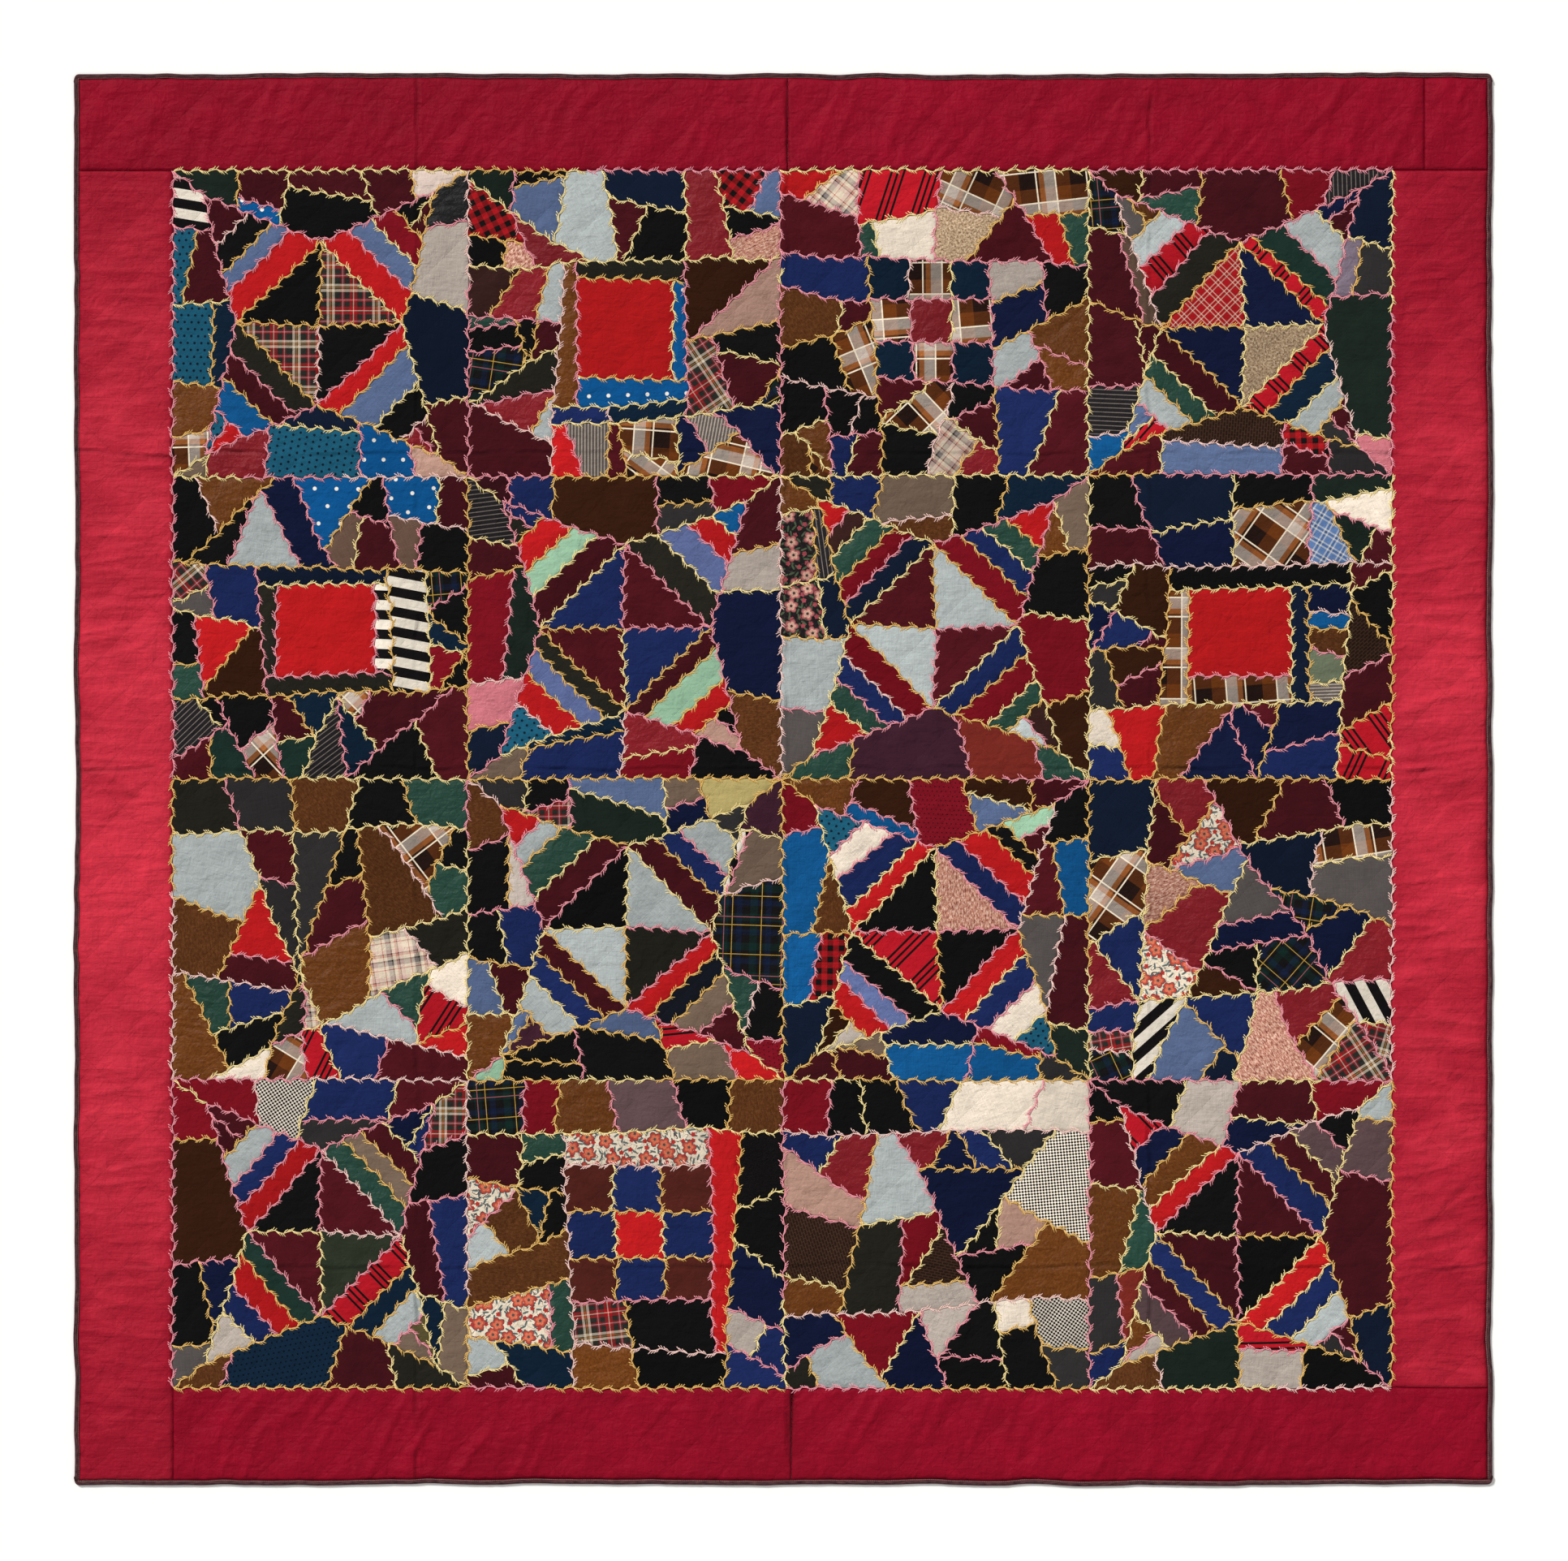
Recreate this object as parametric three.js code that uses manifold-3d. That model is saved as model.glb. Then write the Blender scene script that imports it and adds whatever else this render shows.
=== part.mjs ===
// A crazy quilt lying flat, face up, looked at from straight above.
// +X is to the right, +Y is up the quilt and +Z is up. The origin is the middle of the underside, at floor level.
// Sixteen pieced blocks fill the middle. A plain border of cut strips goes round them, and a narrow binding
// is folded over the outer edge. Lines of quilting cross the whole sheet at 45 degrees, the wadding rises in
// a puff inside each diamond, and the fold creases of storage and the drag folds of the border lift the sheet.
import * as THREE from "three";
import { mergeVertices } from "three/addons/utils/BufferGeometryUtils.js";
import Module from "manifold-3d";

// Driving dimensions, in millimetres.
const quiltWidth = 1748;
const quiltLength = 1740;
const lowThickness = 2.9;
const puffRise = 1.5;
const quiltingStep = 50;
const seamGap = 0.3;
const bindingWidth = 6;
const bindingThickness = 4.6;
const bindingStep = 58;
const cornerRadius = 5;
const prismHeight = 30;

// Seams between the blocks: one row for each line, with its place at the two ends.
const columnSeams = [
  { top: -752, bottom: -751 },
  { top: -388, bottom: -389 },
  { top: -6, bottom: 3 },
  { top: 376, bottom: 377 },
  { top: 750, bottom: 749 },
];
const rowSeams = [
  { left: 749, right: 750 },
  { left: 371, right: 376 },
  { left: 1, right: -1 },
  { left: -370, right: -371 },
  { left: -749, right: -750 },
];

// Seams across the border strips.
const topMiddleSeam = 6;
const topEndSeam = 790;
const bottomMiddleSeam = 10;

// Slow waves of the outer edge: two for each side, drawn in from the straight line.
const edgeWaves = {
  top: [
    { depth: 0.9, length: 470, shift: 90 },
    { depth: 0.5, length: 176, shift: 20 },
  ],
  bottom: [
    { depth: 1.5, length: 1510, shift: -300 },
    { depth: 0.5, length: 205, shift: 60 },
  ],
  left: [
    { depth: 0.8, length: 640, shift: 30 },
    { depth: 0.6, length: 231, shift: 75 },
  ],
  right: [
    { depth: 0.5, length: 410, shift: 150 },
    { depth: 0.7, length: 163, shift: 10 },
  ],
};

// Main folds: a ridge (or a trough, where the rise is negative) from one end to the other.
const mainFolds = [
  { fromX: -451, fromY: -870, toX: -451, toY: 870, halfWidth: 26, rise: 0.9 },
  { fromX: 6, fromY: -870, toX: 4, toY: 870, halfWidth: 28, rise: 1.3 },
  { fromX: 450, fromY: -870, toX: 452, toY: 870, halfWidth: 26, rise: 0.8 },
  { fromX: -874, fromY: 400, toX: 874, toY: 402, halfWidth: 26, rise: 0.8 },
  { fromX: -874, fromY: 14, toX: 874, toY: 12, halfWidth: 28, rise: 1.1 },
  { fromX: -874, fromY: -599, toX: 874, toY: -600, halfWidth: 26, rise: 1.0 },
  { fromX: -570, fromY: 845, toX: -485, toY: 770, halfWidth: 24, rise: 1.4 },
  { fromX: -325, fromY: -815, toX: -255, toY: -752, halfWidth: 24, rise: 1.5 },
  { fromX: 475, fromY: -752, toX: 560, toY: -840, halfWidth: 24, rise: 1.5 },
  { fromX: 160, fromY: 840, toX: 245, toY: 765, halfWidth: 24, rise: 1.2 },
  { fromX: 620, fromY: 780, toX: 690, toY: 850, halfWidth: 24, rise: 1.2 },
  { fromX: -130, fromY: -760, toX: -60, toY: -835, halfWidth: 24, rise: 1.2 },
  { fromX: 780, fromY: 330, toX: 850, toY: 430, halfWidth: 24, rise: 1.3 },
  { fromX: 770, fromY: -560, toX: 850, toY: -480, halfWidth: 24, rise: 1.4 },
  { fromX: -850, fromY: 20, toX: -770, toY: -30, halfWidth: 24, rise: 1.3 },
  { fromX: -860, fromY: 305, toX: -765, toY: 300, halfWidth: 24, rise: 1.1 },
  { fromX: 765, fromY: 90, toX: 860, toY: 120, halfWidth: 24, rise: 1.0 },
  { fromX: -850, fromY: -330, toX: -770, toY: -400, halfWidth: 24, rise: 1.1 },
];

const wasm = await Module();
wasm.setup();

// A closed geometry as a solid that can be joined and cut.
function solidFrom(geometry) {
  geometry.deleteAttribute("normal");
  geometry.deleteAttribute("uv");
  const merged = mergeVertices(geometry, 1e-4);
  return new wasm.Manifold(
    new wasm.Mesh({
      numProp: 3,
      vertProperties: merged.attributes.position.array,
      triVerts: new Uint32Array(merged.index.array),
    }),
  );
}

// A cut solid back as a geometry of three.js.
function geometryFrom(solid) {
  const mesh = solid.getMesh();
  const geometry = new THREE.BufferGeometry();
  geometry.setAttribute("position", new THREE.BufferAttribute(mesh.vertProperties, 3));
  geometry.setIndex(new THREE.BufferAttribute(mesh.triVerts, 1));
  geometry.computeVertexNormals();
  return geometry;
}

// Distance that the edge is drawn in from the straight side at one place along it.
function edgeInset(side, along) {
  let inset = 0;
  for (const wave of edgeWaves[side]) {
    const phase = (2 * Math.PI * (along - wave.shift)) / wave.length;
    inset += (wave.depth * (1 + Math.cos(phase))) / 2;
  }
  return inset;
}

// Point at one place along a side, drawn in from the outer edge by a further distance.
function edgePoint(side, along, drawnIn) {
  const inset = edgeInset(side, along) + drawnIn;
  if (side === "top") return new THREE.Vector2(along, quiltLength / 2 - inset);
  if (side === "bottom") return new THREE.Vector2(along, inset - quiltLength / 2);
  if (side === "left") return new THREE.Vector2(inset - quiltWidth / 2, along);
  return new THREE.Vector2(quiltWidth / 2 - inset, along);
}

// Places along a side from one end to the other, in near equal steps.
function placesAlong(from, to, step) {
  const count = Math.max(1, Math.round(Math.abs(to - from) / step));
  return Array.from({ length: count + 1 }, (_, i) => from + ((to - from) * i) / count);
}

// Height that the folds add at a point: each is a bell across its line that fades out past its ends.
function foldLift(x, y) {
  let lift = 0;
  for (const fold of mainFolds) {
    const start = new THREE.Vector2(fold.fromX, fold.fromY);
    const run = new THREE.Vector2(fold.toX, fold.toY).sub(start);
    const place = new THREE.Vector2(x, y).sub(start);
    const share = THREE.MathUtils.clamp(place.dot(run) / run.lengthSq(), 0, 1);
    const distance = place.addScaledVector(run, -share).length();
    lift += fold.rise * Math.exp(-((distance / fold.halfWidth) ** 2));
  }
  return lift;
}

// Slow unevenness of cloth that lies loose on a floor, from 0 to 1.
function looseness(x, y) {
  const waves = Math.sin(x / 97 + 1.3) * Math.sin(y / 83 - 0.4) + Math.sin((x + 2 * y) / 151);
  return (waves + 2) / 4;
}

// The quilted sheet as one slab, larger than the quilt and turned 45 degrees. The lines of quilting are its
// grid lines: low where two of them cross, and raised to a puff in the middle of each diamond.
function quiltedSlab() {
  const cells = 2 * Math.ceil((quiltWidth + quiltLength) / (2 * Math.SQRT2 * quiltingStep));
  const points = [];
  const triangles = [];
  const place = (row, column) => {
    const u = (column - cells / 2) * quiltingStep;
    const v = (row - cells / 2) * quiltingStep;
    return [(u - v) * Math.SQRT1_2, (u + v) * Math.SQRT1_2];
  };
  const addPoint = (x, y, z) => points.push(x, y, z) / 3 - 1;
  const crossings = [];
  for (let row = 0; row <= cells; row++) {
    crossings.push([]);
    for (let column = 0; column <= cells; column++) {
      const [x, y] = place(row, column);
      const z = lowThickness + foldLift(x, y) + 0.6 * looseness(x, y);
      crossings[row].push(addPoint(x, y, z));
    }
  }
  for (let row = 0; row < cells; row++) {
    for (let column = 0; column < cells; column++) {
      const [x, y] = place(row + 0.5, column + 0.5);
      const fullness = puffRise * (0.75 + 0.5 * looseness(y * 1.7, -x * 1.7));
      const z = lowThickness + foldLift(x, y) + 0.6 * looseness(x, y) + fullness;
      const top = addPoint(x, y, z);
      const [a, b] = [crossings[row][column], crossings[row][column + 1]];
      const [c, d] = [crossings[row + 1][column + 1], crossings[row + 1][column]];
      triangles.push(a, b, top, b, c, top, c, d, top, d, a, top);
    }
  }
  // The rim of the slab, once round, with its flat underside as a fan from the middle.
  const rim = [];
  for (let i = 0; i < cells; i++) rim.push(crossings[0][i]);
  for (let i = 0; i < cells; i++) rim.push(crossings[i][cells]);
  for (let i = cells; i > 0; i--) rim.push(crossings[cells][i]);
  for (let i = cells; i > 0; i--) rim.push(crossings[i][0]);
  const under = rim.map((top) => addPoint(points[3 * top], points[3 * top + 1], 0));
  const middle = addPoint(0, 0, 0);
  rim.forEach((top, i) => {
    const next = (i + 1) % rim.length;
    triangles.push(top, under[i], rim[next], under[i], under[next], rim[next]);
    triangles.push(middle, under[next], under[i]);
  });
  const geometry = new THREE.BufferGeometry();
  geometry.setAttribute("position", new THREE.Float32BufferAttribute(points, 3));
  geometry.setIndex(triangles);
  return solidFrom(geometry);
}

// A prism that stands on an outline and passes right through the slab.
function prismOn(outline) {
  const shape = new THREE.Shape(outline);
  const prism = new THREE.ExtrudeGeometry(shape, { depth: prismHeight, bevelEnabled: false });
  prism.translate(0, 0, -prismHeight / 2);
  return solidFrom(prism);
}

// Height of a row seam at x, and place of a column seam at y. Each is a straight line that leans a little.
function rowSeamAt(row, x) {
  return THREE.MathUtils.lerp(rowSeams[row].left, rowSeams[row].right, x / quiltWidth + 0.5);
}

function columnSeamAt(column, y) {
  return THREE.MathUtils.lerp(columnSeams[column].bottom, columnSeams[column].top, y / quiltLength + 0.5);
}

// Crossing of two block seams; rows count from the top and columns from the left.
function seamCrossing(column, row) {
  const nearX = columnSeamAt(column, rowSeams[row].left);
  const y = rowSeamAt(row, nearX);
  return new THREE.Vector2(columnSeamAt(column, y), y);
}

// Outline of a block between its four seam crossings, with half a gap off each side.
function blockOutline(row, column) {
  const half = seamGap / 2;
  return [
    seamCrossing(column, row + 1).add(new THREE.Vector2(half, half)),
    seamCrossing(column + 1, row + 1).add(new THREE.Vector2(-half, half)),
    seamCrossing(column + 1, row).add(new THREE.Vector2(-half, -half)),
    seamCrossing(column, row).add(new THREE.Vector2(half, -half)),
  ];
}

// Outline of a border strip that lies along a row seam, from one place across to another, out to past the edge.
function rowStripOutline(row, fromX, toX, outward) {
  const half = seamGap / 2;
  const past = outward * quiltLength;
  return [
    new THREE.Vector2(fromX + half, rowSeamAt(row, fromX) + outward * half),
    new THREE.Vector2(toX - half, rowSeamAt(row, toX) + outward * half),
    new THREE.Vector2(toX - half, past),
    new THREE.Vector2(fromX + half, past),
  ];
}

// Outline of a border strip that lies along a column seam, between two places up it, out to past the edge.
function columnStripOutline(column, fromY, toY, outward) {
  const half = seamGap / 2;
  const past = outward * quiltWidth;
  return [
    new THREE.Vector2(columnSeamAt(column, fromY) + outward * half, fromY + half),
    new THREE.Vector2(columnSeamAt(column, toY) + outward * half, toY - half),
    new THREE.Vector2(past, toY - half),
    new THREE.Vector2(past, fromY + half),
  ];
}

// Where the four lengths of binding begin and end. Those at the top and bottom run the full width, and those
// at the sides butt up against them.
const cornerX = quiltWidth / 2 - bindingWidth / 2;
const cornerY = quiltLength / 2 - bindingWidth / 2;
const innerEdge = bindingWidth + seamGap;
const bindingRuns = {
  top: [edgePoint("left", cornerY, 0).x, edgePoint("right", cornerY, 0).x],
  bottom: [edgePoint("left", -cornerY, 0).x, edgePoint("right", -cornerY, 0).x],
  left: [edgePoint("bottom", -cornerX, innerEdge).y, edgePoint("top", -cornerX, innerEdge).y],
  right: [edgePoint("bottom", cornerX, innerEdge).y, edgePoint("top", cornerX, innerEdge).y],
};

// Outline of all the cloth inside the binding, anticlockwise from the lower left corner.
function innerOutline() {
  const along = (side) => placesAlong(...bindingRuns[side], bindingStep);
  const clearOfCorner = (x) => Math.abs(x) < quiltWidth / 2 - 2 * bindingWidth;
  const pointsOn = (side, places) => places.map((place) => edgePoint(side, place, innerEdge));
  return [
    ...pointsOn("left", along("left").reverse()),
    ...pointsOn("bottom", along("bottom").filter(clearOfCorner)),
    ...pointsOn("right", along("right")),
    ...pointsOn("top", along("top").filter(clearOfCorner).reverse()),
  ];
}

// How far a corner is rounded off, at a distance from the end of the binding.
function cornerRound(fromEnd) {
  const short = cornerRadius - THREE.MathUtils.clamp(fromEnd, 0, cornerRadius);
  return cornerRadius - Math.sqrt(cornerRadius ** 2 - short ** 2);
}

// One length of binding: a folded strip with a round outer edge, flat below, carried along the outline.
function bindingGeometry(side) {
  const [from, to] = bindingRuns[side];
  const isCorner = side === "top" || side === "bottom";
  const section = [
    { inset: 1.2, z: 0 },
    { inset: 0, z: 1.4 },
    { inset: 0, z: bindingThickness - 1.6 },
    { inset: 1.3, z: bindingThickness },
    { inset: bindingWidth - 0.7, z: bindingThickness },
    { inset: bindingWidth, z: bindingThickness - 0.9 },
    { inset: bindingWidth, z: 0 },
  ];
  const places = placesAlong(from, to, bindingStep);
  if (isCorner) {
    places.splice(1, 0, from + cornerRadius / 4, from + cornerRadius);
    places.splice(-1, 0, to - cornerRadius, to - cornerRadius / 4);
  }
  const points = [];
  for (const along of places) {
    const dropped = isCorner ? cornerRound(Math.min(along - from, to - along)) : 0;
    for (const { inset, z } of section) {
      const point = edgePoint(side, along, inset + dropped * (1 - inset / bindingWidth));
      points.push(point.x, point.y, z);
    }
  }
  const sides = section.length;
  const triangles = [];
  for (let i = 0; i + 1 < places.length; i++) {
    for (let j = 0; j < sides; j++) {
      const near = i * sides + j;
      const nearNext = i * sides + ((j + 1) % sides);
      triangles.push([near, nearNext, near + sides], [nearNext, nearNext + sides, near + sides]);
    }
  }
  const last = (places.length - 1) * sides;
  for (let j = 1; j + 1 < sides; j++) {
    triangles.push([0, j + 1, j], [last, last + j, last + j + 1]);
  }
  const turned = side === "bottom" || side === "right";
  const geometry = new THREE.BufferGeometry();
  geometry.setAttribute("position", new THREE.Float32BufferAttribute(points, 3));
  geometry.setIndex(triangles.flatMap(([a, b, c]) => (turned ? [a, c, b] : [a, b, c])));
  geometry.computeVertexNormals();
  return geometry;
}

const patchworkCloth = new THREE.MeshStandardMaterial({ color: 0x4d3a40, roughness: 0.9, metalness: 0 });
const borderCloth = new THREE.MeshStandardMaterial({ color: 0xa82238, roughness: 0.75, metalness: 0 });
const bindingCloth = new THREE.MeshStandardMaterial({ color: 0x5e3f45, roughness: 0.85, metalness: 0 });

const quilt = new THREE.Group();
const sheet = quiltedSlab().intersect(prismOn(innerOutline()));

function addPiece(name, geometry, material) {
  const piece = new THREE.Mesh(geometry, material);
  piece.name = name;
  quilt.add(piece);
}

for (let row = 0; row < rowSeams.length - 1; row++) {
  for (let column = 0; column < columnSeams.length - 1; column++) {
    const block = sheet.intersect(prismOn(blockOutline(row, column)));
    addPiece(`block_r${row + 1}c${column + 1}`, geometryFrom(block), patchworkCloth);
  }
}

// Border strips. The top one runs the full width in three lengths, the left one hangs from it down to the lower
// edge, the bottom one runs from there to the right edge in two lengths, and the right one fills what is left.
const upperSeam = rowSeams[0];
const lowerRow = rowSeams.length - 1;
const rightColumn = columnSeams.length - 1;
const leftSeamX = columnSeamAt(0, rowSeams[lowerRow].left);
const borderStrips = {
  border_top_left: rowStripOutline(0, -quiltWidth, topMiddleSeam, 1),
  border_top_right: rowStripOutline(0, topMiddleSeam, topEndSeam, 1),
  border_top_end: rowStripOutline(0, topEndSeam, quiltWidth, 1),
  border_left: columnStripOutline(0, -quiltLength, upperSeam.left, -1),
  border_bottom_left: rowStripOutline(lowerRow, leftSeamX, bottomMiddleSeam, -1),
  border_bottom_right: rowStripOutline(lowerRow, bottomMiddleSeam, quiltWidth, -1),
  border_right: columnStripOutline(rightColumn, rowSeams[lowerRow].right, upperSeam.right, 1),
};
for (const [name, outline] of Object.entries(borderStrips)) {
  addPiece(name, geometryFrom(sheet.intersect(prismOn(outline))), borderCloth);
}

for (const side of Object.keys(bindingRuns)) {
  addPiece(`binding_${side}`, bindingGeometry(side), bindingCloth);
}

export default quilt;
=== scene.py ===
import math
import bpy
import numpy as np
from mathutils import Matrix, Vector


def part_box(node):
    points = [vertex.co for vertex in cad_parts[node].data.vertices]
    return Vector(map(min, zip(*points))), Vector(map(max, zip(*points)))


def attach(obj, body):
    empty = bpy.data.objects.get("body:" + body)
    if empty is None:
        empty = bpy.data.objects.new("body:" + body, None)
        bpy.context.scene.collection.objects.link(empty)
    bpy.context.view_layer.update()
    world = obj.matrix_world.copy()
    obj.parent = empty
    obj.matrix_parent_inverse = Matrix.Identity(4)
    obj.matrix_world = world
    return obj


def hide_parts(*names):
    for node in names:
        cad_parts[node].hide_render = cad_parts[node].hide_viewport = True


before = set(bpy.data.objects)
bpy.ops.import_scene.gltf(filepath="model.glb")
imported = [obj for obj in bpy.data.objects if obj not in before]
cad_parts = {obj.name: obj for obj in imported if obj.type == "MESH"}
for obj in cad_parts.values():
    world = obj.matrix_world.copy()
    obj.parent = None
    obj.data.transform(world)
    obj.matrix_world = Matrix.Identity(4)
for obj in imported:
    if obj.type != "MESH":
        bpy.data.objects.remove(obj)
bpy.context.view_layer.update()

# A crazy quilt lying flat, seen from straight above.
# Lengths are in millimetres, and become metres when a mesh is made.
mm = 0.001

quilt = {
    "lowThickness": 2.9,      # at a line of quilting
    "puffRise": 1.3,          # from there to the top of a puff
    "quiltingStep": 50.0,     # between neighbouring lines of quilting
    "looseLift": 0.6,         # slow unevenness of the whole sheet
    "seamDip": 0.85,          # how deep a patch turns down at its seam
    "seamWidth": 1.3,         # how fast it does so
    "patchFullness": 0.35,    # how much a patch stands above its own edge
    "seamWander": 1.5,        # how far a seam wanders from its straight line, in waves of "wanderLong"
    "wanderLong": 52.0,
    "shortWander": 0.8,       # and in short waves of "wanderShort"
    "wanderShort": 17.0,
    "sampleStep": 6.5,        # between points along a patch's edge
    "puffShape": 0.75,        # under 1 makes the puffs flatter on top
    "crestWidth": 4.5,        # of the narrow ridge on a fold
    "crestFade": 30.0,        # how long that ridge takes to rise from the fold's ends
    "crestSway": (2.5, 37.0),  # how far it sways, and over what length
    "fieldHalf": 756.0,       # from the middle to the seam between patchwork and border
    "wanderFade": 40.0,       # how far into the border the seams' wander reaches
}

# Main folds: a ridge from one end to the other, as long as the cloth is pushed up there. Each row gives the
# two ends, the half width, the rise and the height of the narrow crest. The first six are folds of storage.
foldParts = ("fromX", "fromY", "toX", "toY", "halfWidth", "rise", "crease")
mainFolds = [dict(zip(foldParts, row)) for row in (
    (-451, -870, -451, 870, 26, 0.9, 0.5),
    (6, -870, 4, 870, 28, 1.3, 0.9),
    (450, -870, 452, 870, 26, 0.8, 0.4),
    (-874, 400, 874, 402, 26, 0.8, 0.5),
    (-874, 14, 874, 12, 28, 1.1, 0.9),
    (-874, -599, 874, -600, 26, 1.0, 0.8),
    (-570, 845, -485, 770, 24, 1.4, 1.7),
    (-325, -815, -255, -752, 24, 1.5, 2.0),
    (475, -752, 560, -840, 24, 1.5, 2.0),
    (160, 840, 245, 765, 24, 1.2, 1.5),
    (620, 780, 690, 850, 24, 1.2, 1.5),
    (-130, -760, -60, -835, 24, 1.2, 1.7),
    (780, 330, 850, 430, 24, 1.3, 1.4),
    (770, -560, 850, -480, 24, 1.4, 1.9),
    (-850, 20, -770, -30, 24, 1.3, 1.7),
    (-860, 305, -765, 300, 24, 1.1, 1.5),
    (765, 90, 860, 120, 24, 1.0, 1.4),
    (-850, -330, -770, -400, 24, 1.1, 1.4),
)]
storageFolds = mainFolds[:6]

latticeSize = 256


# Smooth noise from 0 to 1: random values on a whole-number lattice, blended between its points with the
# curve 3t^2 - 2t^3 in both directions. x and y are arrays in lattice steps.
def softNoise(x, y, seed):
    lattice = np.random.default_rng(seed).random((latticeSize, latticeSize))
    x0, y0 = np.floor(x).astype(int), np.floor(y).astype(int)
    fx, fy = x - x0, y - y0
    fx, fy = fx * fx * (3 - 2 * fx), fy * fy * (3 - 2 * fy)
    ax, bx = x0 % latticeSize, (x0 + 1) % latticeSize
    ay, by = y0 % latticeSize, (y0 + 1) % latticeSize
    low = lattice[ax, ay] * (1 - fx) + lattice[bx, ay] * fx
    high = lattice[ax, by] * (1 - fx) + lattice[bx, by] * fx
    return low * (1 - fy) + high * fy


# Slow unevenness of cloth that lies loose, from 0 to 1: the product and sum of a few long sine waves.
def looseness(x, y):
    waves = np.sin(x / 97 + 1.3) * np.sin(y / 83 - 0.4) + np.sin((x + 2 * y) / 151)
    return (waves + 2) / 4


# Height of the quilt's upper face over the floor: its low thickness, a slow wave, the product of the two
# families of quilting as a puff, and for each fold a wide bell with a narrow one on its crest.
def sheetTop(x, y):
    step = quilt["quiltingStep"]
    along = np.abs(np.sin(np.pi * (x + y) / (math.sqrt(2) * step)))
    across = np.abs(np.sin(np.pi * (x - y) / (math.sqrt(2) * step)))
    fullness = 0.75 + 0.5 * looseness(y * 1.7, -x * 1.7)
    top = quilt["lowThickness"] + quilt["looseLift"] * looseness(x, y)
    top = top + quilt["puffRise"] * fullness * (along * across) ** quilt["puffShape"]
    swayWide, swayLong = quilt["crestSway"]
    for fold in mainFolds:
        runX, runY = fold["toX"] - fold["fromX"], fold["toY"] - fold["fromY"]
        length = math.hypot(runX, runY)
        dx, dy = x - fold["fromX"], y - fold["fromY"]
        share = np.clip((dx * runX + dy * runY) / length ** 2, 0, 1)
        wobble = swayWide * np.sin(share * length / swayLong)
        far = np.hypot(dx - share * runX, dy - share * runY)
        side = (dx * runY - dy * runX) / length - wobble
        narrow = np.where((share > 0) & (share < 1), np.abs(side), far)
        fade = np.clip(np.minimum(share, 1 - share) * length / quilt["crestFade"], 0, 1)
        top = top + 0.8 * fold["rise"] * np.exp(-(far / fold["halfWidth"]) ** 2)
        top = top + fold["crease"] * fade * np.exp(-(narrow / quilt["crestWidth"]) ** 2)
    return top


# Where the frame has the corners of the blocks: each is the mean of the box corners of the blocks that meet
# there, in a grid of five by five, rows from the top.
def blockCorners():
    total, count = np.zeros((5, 5, 2)), np.zeros((5, 5, 1))
    for row in range(4):
        for column in range(4):
            low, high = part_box(f"block_r{row + 1}c{column + 1}")
            for down, y in ((0, high.y), (1, low.y)):
                for right, x in ((0, low.x), (1, high.x)):
                    total[row + down, column + right] += np.array([x, y]) / mm
                    count[row + down, column + right] += 1
    return total / count


corners = blockCorners()


# The outer edge along one side, from the frame's binding: at each place along it the point farthest out.
def outerEdge(side):
    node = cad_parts["binding_" + side]
    points = np.array([v.co for v in node.data.vertices]) / mm
    alongAxis, acrossAxis = (0, 1) if side in ("top", "bottom") else (1, 0)
    sign = 1 if side in ("top", "right") else -1
    places = np.round(points[:, alongAxis], 1)
    knots = np.unique(places)
    reach = np.array([(sign * points[places == k, acrossAxis]).max() for k in knots])
    return knots, reach, sign


edges = {side: outerEdge(side) for side in ("top", "bottom", "left", "right")}

ripple = {
    "long": (3.2, 62.0),    # how far the long waves of the edge reach, and their length
    "short": (1.4, 23.0),   # the same for the short waves on them
    "inward": 0.55,         # over 0.5 the long waves lie more inward than outward
    "stillAt": 866.0,       # where along a side the waves end
    "fade": 60.0,           # over what length they end
}


# How far the loose edge waves out or in: two sizes of soft noise along the side, less their middle value,
# none at the corners.
def edgeRipple(side, along):
    row = np.full_like(along, 3.0 * len(side))
    (longHigh, longStep), (shortHigh, shortStep) = ripple["long"], ripple["short"]
    waves = longHigh * (softNoise(along / longStep + 7, row, 94) - ripple["inward"])
    waves = waves + shortHigh * (softNoise(along / shortStep + 3, row, 95) - 0.5)
    return waves * np.clip((ripple["stillAt"] - np.abs(along)) / ripple["fade"], 0, 1)


# Distance of the edge from the middle line at places along a side, with the ripple of the cloth.
def edgeAt(side, along):
    knots, reach, sign = edges[side]
    return sign * (np.interp(along, knots, reach) - 0.3 + edgeRipple(side, along))


# A seam isn't quite straight: both coordinates wander with soft noise of a long and a short wave, less its
# middle value, the same for all that meet there.
def wander(x, y):
    wide, narrow = 2 * quilt["seamWander"], quilt["shortWander"]
    far, near = quilt["wanderLong"], quilt["wanderShort"]
    dx = wide * (softNoise(x / far + 31, y / far + 7, 11) - 0.5)
    dx = dx + narrow * (softNoise(x / near + 9, y / near + 3, 13) - 0.5)
    dy = wide * (softNoise(x / far + 5, y / far + 63, 12) - 0.5)
    dy = dy + narrow * (softNoise(x / near + 2, y / near + 8, 14) - 0.5)
    return x + dx, y + dy


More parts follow.
